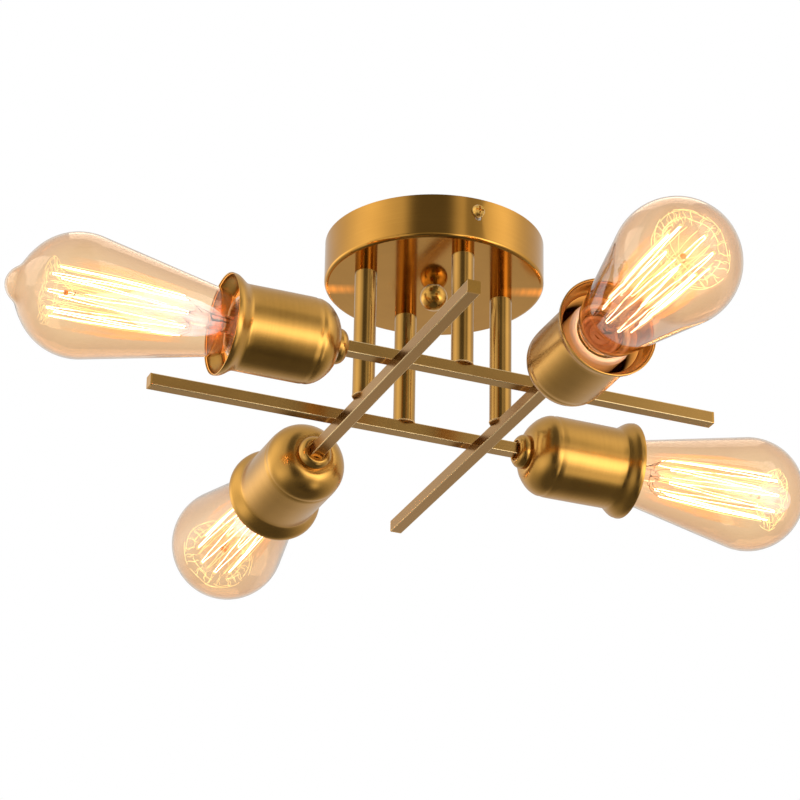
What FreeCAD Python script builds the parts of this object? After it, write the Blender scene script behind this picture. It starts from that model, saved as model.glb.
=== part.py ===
"""Semi flush ceiling light: four square bars under a round canopy, each with a cup, lampholder and bulb.

The origin is the middle of the canopy on the ceiling plane, +Z is up. The two A bars run along X,
the two B bars run along Y one step lower, and every bar hangs on its own tube.
"""

import FreeCAD
import Part
import Sketcher

import math
import os

DOC = FreeCAD.newDocument("ceiling_light")
SHEET = DOC.addObject("Spreadsheet::Sheet", "dims")

# Every driving size in millimetres (angles in degrees), written once.
SIZES = {
    # canopy
    "canopy_radius": 60.0,
    "canopy_height": 25.0,
    "canopy_wall": 1.2,
    "canopy_edge_round": 2.2,
    "slot_half_width": 2.2,
    "side_slot_top": 5.4,
    "side_slot_run": 7.6,
    # mounting bracket
    "bracket_width": 14.0,
    "bracket_gauge": 1.6,
    "bracket_tab_reach": 14.0,
    "bracket_wall_gap": 0.7,
    "bracket_bend": 1.4,
    "bolt_spacing": 79.4,
    "bolt_slot_half_width": 2.3,
    "bolt_slot_length": 14.2,
    "bracket_centre_hole": 5.2,
    "ground_screw_place": 18.0,
    # screws
    "side_screw_radius": 2.0,
    "side_screw_length": 9.0,
    "screw_head_radius": 3.6,
    "screw_head_height": 2.4,
    "screw_recess_depth": 1.2,
    "screw_recess_width": 0.9,
    "side_screw_drop": 7.6,
    "ground_screw_radius": 2.0,
    "screw_clearance": 0.05,
    # ball finial
    "ball_radius": 7.5,
    "ball_sink": 1.3,
    "finial_stud_radius": 2.0,
    "finial_stud_grip": 6.0,
    "finial_nut_height": 3.2,
    "finial_nut_flats": 7.0,
    "stud_spare_end": 1.2,
    # stems
    "stem_inset": 20.0,
    "stem_radius": 6.0,
    "stem_wall": 1.0,
    "stem_length_a": 65.0,
    "stem_step_b": 9.0,
    "stem_floor": 1.4,
    "nipple_wall": 1.9,
    "nipple_grip": 8.0,
    "nipple_clearance": 0.05,
    "washer_radius": 8.5,
    "washer_gauge": 0.8,
    "nut_flats": 14.0,
    "nut_height": 3.0,
    # bars
    "bar_side": 7.0,
    "bar_wall": 1.0,
    "bar_corner": 0.6,
    "bar_free_reach": 147.5,
    "bar_wire_hole": 2.2,
    "plug_head": 1.0,
    "plug_grip": 4.0,
    "plug_clearance": 0.1,
    # collar, measured along the bar from the stem
    "collar_start": 67.0,
    "collar_length": 6.0,
    "collar_radius": 9.6,
    "collar_lip_radius": 7.0,
    "collar_mouth_radius": 5.6,
    "collar_recess": 3.5,
    # cup
    "cup_length": 62.0,
    "cup_radius": 23.0,
    "cup_wall": 0.8,
    "cup_back_radius": 11.6,
    "cup_shoulder": 12.5,
    "cup_flare_length": 9.0,
    "cup_rim_radius": 27.2,
    # lampholder
    "holder_radius": 17.5,
    "holder_back_radius": 13.0,
    "holder_back_step": 8.0,
    "holder_back_wall": 4.0,
    "holder_recess": 8.0,
    "holder_chamber_radius": 10.5,
    "holder_chamber_length": 14.0,
    "holder_floor": 6.0,
    "holder_wire_hole": 0.95,
    "shell_radius": 13.9,
    "shell_wall": 0.5,
    "shell_length": 23.0,
    "shell_clearance": 0.1,
    "shell_flange_hole": 7.5,
    "contact_width": 5.0,
    "contact_gauge": 0.6,
    "contact_gap": 0.3,
    # bulb
    "bulb_length": 140.0,
    "bulb_cap_radius": 13.0,
    "bulb_cap_wall": 0.4,
    "bulb_cap_length": 20.5,
    "bulb_cap_taper": 2.8,
    "bulb_cap_end_radius": 10.6,
    "bulb_insulator_height": 2.4,
    "bulb_button_radius": 4.6,
    "bulb_button_height": 0.8,
    "bulb_joint_gap": 0.3,
    "glass_radius": 32.5,
    "glass_wall": 0.9,
    "glass_taper_angle": 11.6,
    "glass_skirt": 6.0,
    "glass_skirt_gap": 0.2,
    "glass_neck_rise": 6.0,
    "glass_neck_step": 1.0,
    "pip_radius": 6.8,
    "pip_length": 6.5,
    "mount_flare": 1.3,
    "mount_tube_radius": 4.2,
    "mount_press_height": 24.0,
    "mount_rod_radius": 1.4,
    "mount_rod_top": 86.0,
    "filament_radius": 0.3,
    "filament_low": 22.0,
    "filament_high": 97.0,
    "filament_low_radius": 10.5,
    "filament_high_radius": 13.0,
    "filament_hook_width": 1.3,
    # wiring
    "wire_radius": 0.75,
    "wire_pair_offset": 1.1,
    "wire_bend": 3.0,
    "wire_play": 0.25,
    "line_level": 4.6,
    "neutral_level": 7.2,
    "splice_offset": 14.0,
    "connector_radius": 5.6,
    "connector_bore": 2.7,
    "connector_end": 3.5,
    "connector_clearance": 0.85,
    "splice_ring": 1.75,
}
ARMS = ["a1", "a2", "b1", "b2"]
FILAMENT_STRANDS = 16


class Size:
    """A length that carries its number and the sheet formula it comes from."""

    def __init__(self, number, formula):
        self.number = number
        self.formula = formula

    def __add__(self, other):
        other = as_size(other)
        return Size(self.number + other.number, f"({self.formula} + {other.formula})")

    def __sub__(self, other):
        other = as_size(other)
        return Size(self.number - other.number, f"({self.formula} - {other.formula})")

    def __mul__(self, other):
        other = as_size(other)
        return Size(self.number * other.number, f"({self.formula} * {other.formula})")

    def __truediv__(self, other):
        other = as_size(other)
        return Size(self.number / other.number, f"({self.formula} / {other.formula})")

    def __neg__(self):
        return Size(-self.number, f"(0 - {self.formula})")


def as_size(value):
    """Plain numbers become sizes, so both can stand in one sum."""
    if isinstance(value, Size):
        return value
    return Size(float(value), f"({float(value)})")


def cosine(angle):
    return Size(math.cos(math.radians(angle.number)), f"cos({angle.formula})")


def sine(angle):
    return Size(math.sin(math.radians(angle.number)), f"sin({angle.formula})")


def root(size):
    return Size(math.sqrt(size.number), f"sqrt({size.formula})")


class Dimensions:
    """Gives each sheet cell as a size: d.canopy_radius is the cell named canopy_radius."""

    def __getattr__(self, name):
        return Size(SIZES[name], f"dims.{name}")


d = Dimensions()


def fill_sheet():
    """Write every size to its own cell, with its name beside it and as the cell's alias."""
    for row, (name, number) in enumerate(SIZES.items(), start=1):
        SHEET.set(f"A{row}", name)
        SHEET.set(f"B{row}", str(number))
        SHEET.setAlias(f"B{row}", name)
    DOC.recompute()


# ---------------------------------------------------------------- sketching helpers


def new_body(name):
    body = DOC.addObject("PartDesign::Body", name)
    body.Label = name
    return body


def origin_feature(body, role):
    """The body's own origin plane or axis with this role."""
    return [feature for feature in body.Origin.OriginFeatures if feature.Role == role][0]


def new_sketch(body, name, plane, height=None):
    """A sketch on one of the body's origin planes, raised along the plane's normal if asked."""
    sketch = body.newObject("Sketcher::SketchObject", name)
    sketch.AttachmentSupport = [(origin_feature(body, plane), "")]
    sketch.MapMode = "FlatFace"
    if height is not None:
        height = as_size(height)
        sketch.AttachmentOffset = FreeCAD.Placement(FreeCAD.Vector(0, 0, height.number), FreeCAD.Rotation())
        sketch.setExpression("AttachmentOffset.Base.z", height.formula)
    return sketch


def bind(sketch, constraint, size):
    """Add one dimension and tie it to its formula."""
    index = sketch.addConstraint(constraint)
    sketch.setExpression(f"Constraints[{index}]", size.formula)


def bind_point(sketch, edge, end, x, y):
    """Hold one end of an edge at (x, y), measured from the sketch's origin."""
    bind(sketch, Sketcher.Constraint("DistanceX", -1, 1, edge, end, x.number), x)
    bind(sketch, Sketcher.Constraint("DistanceY", -1, 1, edge, end, y.number), y)


def arc_edge(start, end, centre, turn):
    """A circular edge from start to end about centre; turn is 'left' or 'right'."""
    radius = math.hypot(start[0] - centre[0], start[1] - centre[1])
    first = math.atan2(start[1] - centre[1], start[0] - centre[0])
    last = math.atan2(end[1] - centre[1], end[0] - centre[0])
    if turn == "right":
        first, last = last, first
    circle = Part.Circle(FreeCAD.Vector(centre[0], centre[1], 0), FreeCAD.Vector(0, 0, 1), radius)
    return Part.ArcOfCircle(circle, first, last)


def draw_outline(sketch, corners):
    """A closed outline of corners (x, y), where (x, y, centre_x, centre_y, turn) starts an arc."""
    corners = [tuple(as_size(v) if not isinstance(v, str) else v for v in corner) for corner in corners]
    ends = []
    for number, corner in enumerate(corners):
        following = corners[(number + 1) % len(corners)]
        start = (corner[0].number, corner[1].number)
        end = (following[0].number, following[1].number)
        if len(corner) == 2:
            edge = sketch.addGeometry(
                Part.LineSegment(FreeCAD.Vector(*start, 0), FreeCAD.Vector(*end, 0)), False
            )
            ends.append((edge, 1, 2))
            continue
        centre = (corner[2].number, corner[3].number)
        edge = sketch.addGeometry(arc_edge(start, end, centre, corner[4]), False)
        ends.append((edge, 1, 2) if corner[4] == "left" else (edge, 2, 1))
        # the ends are held below, so one coordinate of the centre settles the arc
        if abs(end[1] - start[1]) > abs(end[0] - start[0]):
            bind(sketch, Sketcher.Constraint("DistanceX", -1, 1, edge, 3, centre[0]), corner[2])
        else:
            bind(sketch, Sketcher.Constraint("DistanceY", -1, 1, edge, 3, centre[1]), corner[3])
    for number, corner in enumerate(corners):
        edge, first, last = ends[number]
        before, before_first, before_last = ends[number - 1]
        sketch.addConstraint(Sketcher.Constraint("Coincident", before, before_last, edge, first))
        bind_point(sketch, edge, first, corner[0], corner[1])


def draw_circle(sketch, x, y, radius):
    """A round hole or boss outline."""
    x, y, radius = as_size(x), as_size(y), as_size(radius)
    circle = Part.Circle(FreeCAD.Vector(x.number, y.number, 0), FreeCAD.Vector(0, 0, 1), radius.number)
    edge = sketch.addGeometry(circle, False)
    bind_point(sketch, edge, 3, x, y)
    bind(sketch, Sketcher.Constraint("Radius", edge, radius.number), radius)


def draw_rectangle(sketch, left, right, bottom, top):
    draw_outline(sketch, [(left, bottom), (right, bottom), (right, top), (left, top)])


def draw_rounded_square(sketch, half, corner):
    """A square about the sketch's origin with rounded corners."""
    flat = half - corner
    draw_outline(
        sketch,
        [
            (half, -flat),
            (half, flat, flat, flat, "left"),
            (flat, half),
            (-flat, half, -flat, flat, "left"),
            (-half, flat),
            (-half, -flat, -flat, -flat, "left"),
            (-flat, -half),
            (flat, -half, flat, -flat, "left"),
        ],
    )


def draw_slot(sketch, x, y, run, half_width):
    """An obround whose long way is the sketch's Y; run is the distance between its two round ends."""
    x, y, run, half_width = as_size(x), as_size(y), as_size(run), as_size(half_width)
    low = y - run / 2
    high = y + run / 2
    draw_outline(
        sketch,
        [
            (x + half_width, low),
            (x + half_width, high, x, high, "left"),
            (x - half_width, high),
            (x - half_width, low, x, low, "left"),
        ],
    )


def turn(body, name, corners):
    """Turn an outline of (radius, height) corners about the body's Z axis."""
    sketch = new_sketch(body, name + "_outline", "XZ_Plane")
    draw_outline(sketch, corners)
    revolution = body.newObject("PartDesign::Revolution", name)
    revolution.Profile = sketch
    revolution.ReferenceAxis = (sketch, ["V_Axis"])
    revolution.Angle = 360.0
    sketch.Visibility = False
    body.Tip = revolution
    return revolution


def pad(body, name, sketch, length, both_sides=False):
    length = as_size(length)
    feature = body.newObject("PartDesign::Pad", name)
    feature.Profile = sketch
    feature.Length = length.number
    feature.setExpression("Length", length.formula)
    feature.Midplane = both_sides
    body.Tip = feature
    return feature


def pocket(body, name, sketch, length, both_sides=False, backwards=False):
    """Cut the sketch into the body, and make sure that it does cut."""
    DOC.recompute()
    before = body.Shape.Volume
    length = as_size(length)
    feature = body.newObject("PartDesign::Pocket", name)
    feature.Profile = sketch
    feature.Length = length.number
    feature.setExpression("Length", length.formula)
    feature.Midplane = both_sides
    feature.Reversed = backwards
    body.Tip = feature
    DOC.recompute()
    if body.Shape.Volume >= before - 1e-6:
        raise RuntimeError(f"{name} cuts nothing from {body.Label}")
    return feature


def tube(name, inner, outer, low, high):
    """A plain round tube or washer about Z."""
    body = new_body(name)
    turn(body, name + "_turned", [(inner, low), (outer, low), (outer, high), (inner, high)])
    return body


def hex_nut(name, flats, bore, low, height):
    """A hexagonal nut about Z, with its across-flats size along X."""
    body = new_body(name)
    sketch = new_sketch(body, name + "_hexagon", "XY_Plane", low)
    half = flats / 2
    corner = flats / root(as_size(3.0))
    draw_outline(
        sketch,
        [
            (half, -corner / 2),
            (half, corner / 2),
            (as_size(0), corner),
            (-half, corner / 2),
            (-half, -corner / 2),
            (as_size(0), -corner),
        ],
    )
    draw_circle(sketch, 0, 0, bore)
    pad(body, name + "_pad", sketch, height)
    return body


def place(thing, x, y, z, rotation=None):
    """Put a body at (x, y, z), with each coordinate tied to its formula."""
    x, y, z = as_size(x), as_size(y), as_size(z)
    rotation = rotation or FreeCAD.Rotation()
    thing.Placement = FreeCAD.Placement(FreeCAD.Vector(x.number, y.number, z.number), rotation)
    thing.setExpression("Placement.Base.x", x.formula)
    thing.setExpression("Placement.Base.y", y.formula)
    thing.setExpression("Placement.Base.z", z.formula)
    return thing


def group(name, members):
    """One sub-part made of several separate identical pieces."""
    compound = DOC.addObject("Part::Compound", name)
    compound.Label = name
    compound.Links = members
    for member in members:
        member.Label = "piece_of_" + member.Name
    return compound


# ---------------------------------------------------------------- where things are

OUTWARD = {
    "a1": FreeCAD.Vector(-1, 0, 0),
    "a2": FreeCAD.Vector(1, 0, 0),
    "b1": FreeCAD.Vector(0, 1, 0),
    "b2": FreeCAD.Vector(0, -1, 0),
}
STEM_SIDE = {"a1": (0, -1), "a2": (0, 1), "b1": (-1, 0), "b2": (1, 0)}


def stem_pitch():
    """How far the stems stand from the middle."""
    return d.canopy_radius - d.stem_inset


def stem_place(arm):
    """Where this arm's stem stands, in plan."""
    side = STEM_SIDE[arm]
    return stem_pitch() * side[0], stem_pitch() * side[1]


def stem_length(arm):
    return d.stem_length_a if arm[0] == "a" else d.stem_length_a + d.stem_step_b


def bar_top(arm):
    return -(d.canopy_height + stem_length(arm))


def bar_middle(arm):
    return bar_top(arm) - d.bar_side / 2


def arm_rotation(arm):
    """Turns local +Z outward along the arm, towards its bulb, and local +X up."""
    outward = OUTWARD[arm]
    up = FreeCAD.Vector(0, 0, 1)
    return FreeCAD.Rotation(up, outward.cross(up), outward, "ZXY")


def place_on_arm(thing, arm):
    """A thing drawn about Z, with Z counted along the arm from its stem, goes to its arm."""
    x, y = stem_place(arm)
    return place(thing, x, y, bar_middle(arm), arm_rotation(arm))


def canopy_floor():
    """Top face of the canopy's bottom plate."""
    return -(d.canopy_height - d.canopy_wall)


def cup_back():
    """Back face of the cup, where the collar ends."""
    return d.collar_start + d.collar_length


def cup_rim():
    return cup_back() + d.cup_length


def bar_end():
    """The bar ends on the collar's web."""
    return d.collar_start + d.collar_recess


def holder_back():
    return cup_back() + d.cup_wall + d.nut_height


def holder_front():
    return cup_rim() - d.holder_recess


def holder_floor_back():
    return holder_back() + d.holder_back_wall + d.holder_chamber_length


def holder_floor_front():
    return holder_floor_back() + d.holder_floor


def bulb_contact():
    """Tip of the bulb's contact button, a small gap above the lampholder's tongue."""
    return holder_floor_front() + d.contact_gauge * 2 + d.contact_gap + d.shell_wall + 1.5


def cap_start():
    return bulb_contact() + d.bulb_button_height + d.bulb_insulator_height


def cap_end():
    return cap_start() + d.bulb_cap_length


def nipple_radius():
    return d.stem_radius - d.stem_wall - d.nipple_clearance


# ---------------------------------------------------------------- canopy and its fixings


def make_mounting_bracket():
    """Steel strap with two tabs bent down, slotted for the ceiling box."""
    body = new_body("mounting_bracket")
    reach = d.canopy_radius - d.canopy_wall - d.bracket_wall_gap
    profile = new_sketch(body, "bracket_profile", "YZ_Plane")
    inner_bend = d.bracket_bend
    outer_bend = d.bracket_bend + d.bracket_gauge
    inside = reach - d.bracket_gauge
    under = -d.bracket_gauge
    draw_outline(
        profile,
        [
            (-reach, -d.bracket_tab_reach),
            (-inside, -d.bracket_tab_reach),
            (-inside, under - inner_bend, -(inside - inner_bend), under - inner_bend, "right"),
            (-(inside - inner_bend), under),
            (inside - inner_bend, under, inside - inner_bend, under - inner_bend, "right"),
            (inside, under - inner_bend),
            (inside, -d.bracket_tab_reach),
            (reach, -d.bracket_tab_reach),
            (reach, -outer_bend, reach - outer_bend, -outer_bend, "left"),
            (reach - outer_bend, as_size(0)),
            (-(reach - outer_bend), as_size(0), -(reach - outer_bend), -outer_bend, "left"),
            (-reach, -outer_bend),
        ],
    )
    pad(body, "bracket_strip", profile, d.bracket_width, both_sides=True)
    slots = new_sketch(body, "bolt_slots", "XY_Plane")
    run = d.bolt_slot_length - d.bolt_slot_half_width * 2
    draw_slot(slots, 0, d.bolt_spacing / 2, run, d.bolt_slot_half_width)
    draw_slot(slots, 0, -d.bolt_spacing / 2, run, d.bolt_slot_half_width)
    draw_circle(slots, 0, 0, d.bracket_centre_hole)
    draw_circle(slots, 0, d.ground_screw_place, d.ground_screw_radius + d.screw_clearance)
    pocket(body, "bolt_slots_cut", slots, d.bracket_gauge * 3, both_sides=True)
    holes = new_sketch(body, "tab_holes", "XZ_Plane")
    draw_circle(holes, 0, -d.side_screw_drop, d.side_screw_radius + d.screw_clearance)
    pocket(body, "tab_holes_cut", holes, d.canopy_radius * 2, both_sides=True)
    return body


def make_canopy():
    """Drawn round cup, open to the ceiling, with stem holes and two slots for its side screws."""
    body = new_body("canopy")
    outer = d.canopy_radius
    inner = d.canopy_radius - d.canopy_wall
    bottom = -d.canopy_height
    edge = d.canopy_edge_round
    inner_edge = d.canopy_edge_round - d.canopy_wall
    turn(
        body,
        "canopy_drawn",
        [
            (as_size(0), bottom),
            (outer - edge, bottom, outer - edge, bottom + edge, "left"),
            (outer, bottom + edge),
            (outer, as_size(0)),
            (inner, as_size(0)),
            (inner, bottom + edge, inner - inner_edge, bottom + edge, "right"),
            (inner - inner_edge, canopy_floor()),
            (as_size(0), canopy_floor()),
        ],
    )
    hole = new_sketch(body, "stem_hole", "XY_Plane", bottom)
    draw_circle(hole, stem_pitch(), 0, nipple_radius() + d.nipple_clearance * 4)
    cut = pocket(body, "stem_hole_cut", hole, d.canopy_wall * 2, backwards=True)
    pattern = body.newObject("PartDesign::PolarPattern", "stem_holes")
    pattern.Originals = [cut]
    pattern.Axis = (origin_feature(body, "Z_Axis"), [""])
    pattern.Angle = 360.0
    pattern.Occurrences = 4
    body.Tip = pattern
    middle = new_sketch(body, "finial_hole", "XY_Plane", bottom)
    draw_circle(middle, 0, 0, d.finial_stud_radius + d.screw_clearance * 4)
    pocket(body, "finial_hole_cut", middle, d.canopy_wall * 2, backwards=True)
    slots = new_sketch(body, "side_slots", "XZ_Plane")
    slot_middle = -(d.side_slot_top + d.side_slot_run / 2)
    draw_slot(slots, 0, slot_middle, d.side_slot_run - d.slot_half_width * 2, d.slot_half_width)
    pocket(body, "side_slots_cut", slots, d.canopy_radius * 3, both_sides=True)
    return body


def make_pan_screw(name, radius, length):
    """Pan-head screw along Z, its head's underside at Z = 0 and its shank pointing down."""
    body = new_body(name)
    head = d.screw_head_radius
    tall = d.screw_head_height
    low = tall / 3
    turn(
        body,
        name + "_turned",
        [
            (as_size(0), -length),
            (radius * 0.7, -length),
            (radius, -(length - radius * 0.5)),
            (radius, as_size(0)),
            (head, as_size(0)),
            (head, low),
            (head * 0.72, tall),
            (as_size(0), tall),
        ],
    )
    recess = new_sketch(body, name + "_recess", "XY_Plane", tall)
    arm = head * 0.6
    half = d.screw_recess_width / 2
    draw_outline(
        recess,
        [
            (-half, -arm),
            (half, -arm),
            (half, -half),
            (arm, -half),
            (arm, half),
            (half, half),
            (half, arm),
            (-half, arm),
            (-half, half),
            (-arm, half),
            (-arm, -half),
            (-half, -half),
        ],
    )
    pocket(body, name + "_recess_cut", recess, d.screw_recess_depth)
    return body


def make_canopy_screws():
    """The two side screws that hang the canopy on the bracket's tabs."""
    screws = []
    for name, side in (("front", -1), ("rear", 1)):
        screw = make_pan_screw("canopy_screw_" + name, d.side_screw_radius, d.side_screw_length)
        along = FreeCAD.Rotation(FreeCAD.Vector(0, 0, 1), FreeCAD.Vector(0, side, 0))
        seat = d.canopy_radius + d.screw_clearance
        screws.append(place(screw, 0, seat * side, -d.side_screw_drop, along))
    return group("canopy_screws", screws)


def make_ground_screw():
    """The earthing screw in the bracket, its head below the strap and its tip flush above."""
    length = d.bracket_gauge - d.screw_clearance
    screw = make_pan_screw("ground_screw", d.ground_screw_radius, length)
    down = FreeCAD.Rotation(FreeCAD.Vector(1, 0, 0), 180)
    return place(screw, 0, d.ground_screw_place, -d.bracket_gauge, down)


def make_finial_ball():
    """Ball nut in the middle of the canopy, flat where it meets the plate."""
    body = new_body("finial_ball")
    centre = -(d.canopy_height + d.ball_radius - d.ball_sink)
    drop = d.ball_radius - d.ball_sink
    flat = root(d.ball_radius * d.ball_radius - drop * drop)
    bore = d.finial_stud_radius + d.screw_clearance
    depth = d.finial_stud_grip + d.screw_clearance
    turn(
        body,
        "ball_turned",
        [
            (as_size(0), centre - d.ball_radius, as_size(0), centre, "left"),
            (flat, -d.canopy_height),
            (bore, -d.canopy_height),
            (bore, -d.canopy_height - depth),
            (as_size(0), -d.canopy_height - depth),
        ],
    )
    return body


def make_finial_stud():
    """Stud from the ball up through the plate and its nut."""
    top = canopy_floor() + d.finial_nut_height + d.stud_spare_end
    radius = d.finial_stud_radius
    return tube_solid("finial_stud", radius, -d.canopy_height - d.finial_stud_grip, top)


def tube_solid(name, radius, low, high):
    """A plain round rod about Z."""
    body = new_body(name)
    turn(body, name + "_turned", [(as_size(0), low), (radius, low), (radius, high), (as_size(0), high)])
    return body


def make_finial_nut():
    bore = d.finial_stud_radius + d.screw_clearance
    return hex_nut("finial_nut", d.finial_nut_flats, bore, canopy_floor(), d.finial_nut_height)


# ---------------------------------------------------------------- stems and bars


def make_stem(arm):
    """Round tube from the canopy down to the top of its bar, closed there but for the wire hole."""
    body = new_body("stem_" + arm)
    low = bar_top(arm)
    inner = d.stem_radius - d.stem_wall
    turn(
        body,
        "stem_drawn_" + arm,
        [
            (d.bar_wire_hole, low),
            (d.stem_radius, low),
            (d.stem_radius, -d.canopy_height),
            (inner, -d.canopy_height),
            (inner, low + d.stem_floor),
            (d.bar_wire_hole, low + d.stem_floor),
        ],
    )
    x, y = stem_place(arm)
    return place(body, x, y, 0)


def nipple_top():
    return canopy_floor() + d.washer_gauge + d.nut_height + d.stud_spare_end


def make_stem_nipples():
    """Short hollow threaded tubes that carry the stems through the canopy plate."""
    made = []
    for arm in ARMS:
        radius = nipple_radius()
        low = -(d.canopy_height + d.nipple_grip)
        nipple = tube("stem_nipple_" + arm, radius - d.nipple_wall, radius, low, nipple_top())
        x, y = stem_place(arm)
        made.append(place(nipple, x, y, 0))
    return group("stem_nipples", made)


def make_stem_washers():
    made = []
    for arm in ARMS:
        bore = nipple_radius() + d.nipple_clearance
        top = canopy_floor() + d.washer_gauge
        washer = tube("stem_washer_" + arm, bore, d.washer_radius, canopy_floor(), top)
        x, y = stem_place(arm)
        made.append(place(washer, x, y, 0))
    return group("stem_washers", made)


def make_stem_nuts():
    made = []
    for arm in ARMS:
        bore = nipple_radius() + d.nipple_clearance
        low = canopy_floor() + d.washer_gauge
        nut = hex_nut("stem_nut_" + arm, d.nut_flats, bore, low, d.nut_height)
        x, y = stem_place(arm)
        made.append(place(nut, x, y, 0))
    return group("stem_nuts", made)


def make_bar(arm):
    """Square tube under its stem: a long free end and a short end that carries the cup."""
    body = new_body("bar_" + arm)
    half = d.bar_side / 2
    hollow = half - d.bar_wall
    start = -(d.bar_free_reach - d.plug_head)
    section = new_sketch(body, "bar_section_" + arm, "XY_Plane", start)
    draw_rounded_square(section, half, d.bar_corner)
    draw_rectangle(section, -hollow, hollow, -hollow, hollow)
    pad(body, "bar_length_" + arm, section, bar_end() - start)
    hole = new_sketch(body, "bar_hole_" + arm, "YZ_Plane")
    draw_circle(hole, 0, 0, d.bar_wire_hole)
    pocket(body, "bar_hole_cut_" + arm, hole, d.bar_side, backwards=True)
    return place_on_arm(body, arm)


def make_bar_end_plugs():
    """Plugs that close the free ends of the bars."""
    made = []
    for arm in ARMS:
        body = new_body("bar_end_plug_" + arm)
        half = d.bar_side / 2
        grip = half - d.bar_wall - d.plug_clearance
        head = new_sketch(body, "plug_head_" + arm, "XY_Plane", -d.bar_free_reach)
        draw_rounded_square(head, half, d.bar_corner)
        pad(body, "plug_head_pad_" + arm, head, d.plug_head)
        tail = new_sketch(body, "plug_tail_" + arm, "XY_Plane", -(d.bar_free_reach - d.plug_head))
        draw_rectangle(tail, -grip, grip, -grip, grip)
        pad(body, "plug_tail_pad_" + arm, tail, d.plug_grip)
        made.append(place_on_arm(body, arm))
    return group("bar_end_plugs", made)


def make_bar_nipples():
    """Hollow threaded tubes from the bar's end through collar, cup and nut into the lampholder."""
    made = []
    for arm in ARMS:
        radius = nipple_radius()
        end = holder_back() + d.holder_back_wall
        nipple = tube("bar_nipple_" + arm, radius - d.nipple_wall, radius, bar_end(), end)
        made.append(place_on_arm(nipple, arm))
    return group("bar_nipples", made)


# ---------------------------------------------------------------- collar, cup and lampholder


def make_collar(arm):
    """Domed ring behind the cup; the bar goes into its mouth and stops on its web."""
    body = new_body("collar_" + arm)
    start = d.collar_start
    end = cup_back()
    bore = nipple_radius() + d.nipple_clearance
    rise = d.collar_radius - d.collar_lip_radius
    run = d.collar_length - d.collar_length / 4
    turn(
        body,
        "collar_turned_" + arm,
        [
            (d.collar_mouth_radius, start),
            (d.collar_lip_radius, start),
            (d.collar_lip_radius + rise * 0.55, start + run * 0.32),
            (d.collar_lip_radius + rise * 0.9, start + run * 0.72),
            (d.collar_radius, start + run),
            (d.collar_radius, end),
            (bore, end),
            (bore, bar_end()),
            (d.collar_mouth_radius, bar_end()),
        ],
    )
    return place_on_arm(body, arm)


def cup_outline(offset):
    """Outside of the cup from its back to its rim, moved inward by offset."""
    back = cup_back()
    shoulder = back + d.cup_shoulder
    rim = cup_rim()
    flare = rim - d.cup_flare_length
    body_radius = d.cup_radius - offset
    rim_radius = d.cup_rim_radius - offset
    growth = d.cup_rim_radius - d.cup_radius
    back_radius = d.cup_back_radius - offset
    spread = d.cup_radius - d.cup_back_radius
    run = d.cup_shoulder - offset
    start = back + offset
    return [
        (back_radius, start),
        (back_radius + spread * 0.42, start + run * 0.12),
        (back_radius + spread * 0.74, start + run * 0.36),
        (back_radius + spread * 0.93, start + run * 0.68),
        (body_radius, shoulder),
        (body_radius, flare),
        (body_radius + growth * 0.16, flare + d.cup_flare_length * 0.10),
        (body_radius + growth * 0.62, flare + d.cup_flare_length * 0.42),
        (body_radius + growth * 0.92, flare + d.cup_flare_length * 0.74),
        (rim_radius, rim),
    ]


def make_cup(arm):
    """Spun cup with a domed shoulder and a flared rim, open towards the bulb."""
    body = new_body("cup_" + arm)
    outside = cup_outline(as_size(0))
    inside = cup_outline(d.cup_wall)
    bore = nipple_radius() + d.nipple_clearance
    corners = [(bore, cup_back())] + outside + inside[::-1] + [(bore, cup_back() + d.cup_wall)]
    turn(body, "cup_spun_" + arm, corners)
    return place_on_arm(body, arm)


def make_holder_nuts():
    """Nuts inside the cups, between the cup's back and the lampholder."""
    made = []
    for arm in ARMS:
        bore = nipple_radius() + d.nipple_clearance
        nut = hex_nut("holder_nut_" + arm, d.nut_flats, bore, cup_back() + d.cup_wall, d.nut_height)
        made.append(place_on_arm(nut, arm))
    return group("holder_nuts", made)


def make_lampholder(arm):
    """Glazed ceramic body: a wiring chamber at the back and a round well for the screw shell."""
    body = new_body("lampholder_" + arm)
    back = holder_back()
    bore = nipple_radius() + d.nipple_clearance
    chamber = back + d.holder_back_wall
    well = d.shell_radius + d.shell_clearance
    front = holder_front()
    lip = (d.holder_radius - well) / 2
    turn(
        body,
        "lampholder_moulded_" + arm,
        [
            (bore, back),
            (d.holder_back_radius, back),
            (d.holder_back_radius, back + d.holder_back_step),
            (d.holder_radius, back + d.holder_back_step * 1.5),
            (d.holder_radius, front - lip),
            (d.holder_radius - lip, front),
            (well, front),
            (well, holder_floor_front()),
            (as_size(0), holder_floor_front()),
            (as_size(0), holder_floor_back()),
            (d.holder_chamber_radius, holder_floor_back()),
            (d.holder_chamber_radius, chamber),
            (bore, chamber),
        ],
    )
    holes = new_sketch(body, "lampholder_wire_holes_" + arm, "XY_Plane", holder_floor_back())
    side = wire_side(arm)
    draw_circle(holes, 0, d.wire_pair_offset * side, d.holder_wire_hole)
    draw_circle(holes, 0, neutral_terminal() * -side, d.holder_wire_hole)
    pocket(body, "lampholder_wire_holes_cut_" + arm, holes, d.holder_floor * 1.5, backwards=True)
    return place_on_arm(body, arm)


def neutral_terminal():
    """How far from the axis the neutral wire meets the screw shell's flange."""
    return d.holder_chamber_radius - d.wire_radius * 2


def wire_side(arm):
    """Local Y side of the line wire, which is the side away from the middle of the canopy."""
    outward = OUTWARD[arm]
    local_y = outward.cross(FreeCAD.Vector(0, 0, 1))
    side = STEM_SIDE[arm]
    return 1 if local_y.x * side[0] + local_y.y * side[1] > 0 else -1


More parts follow.
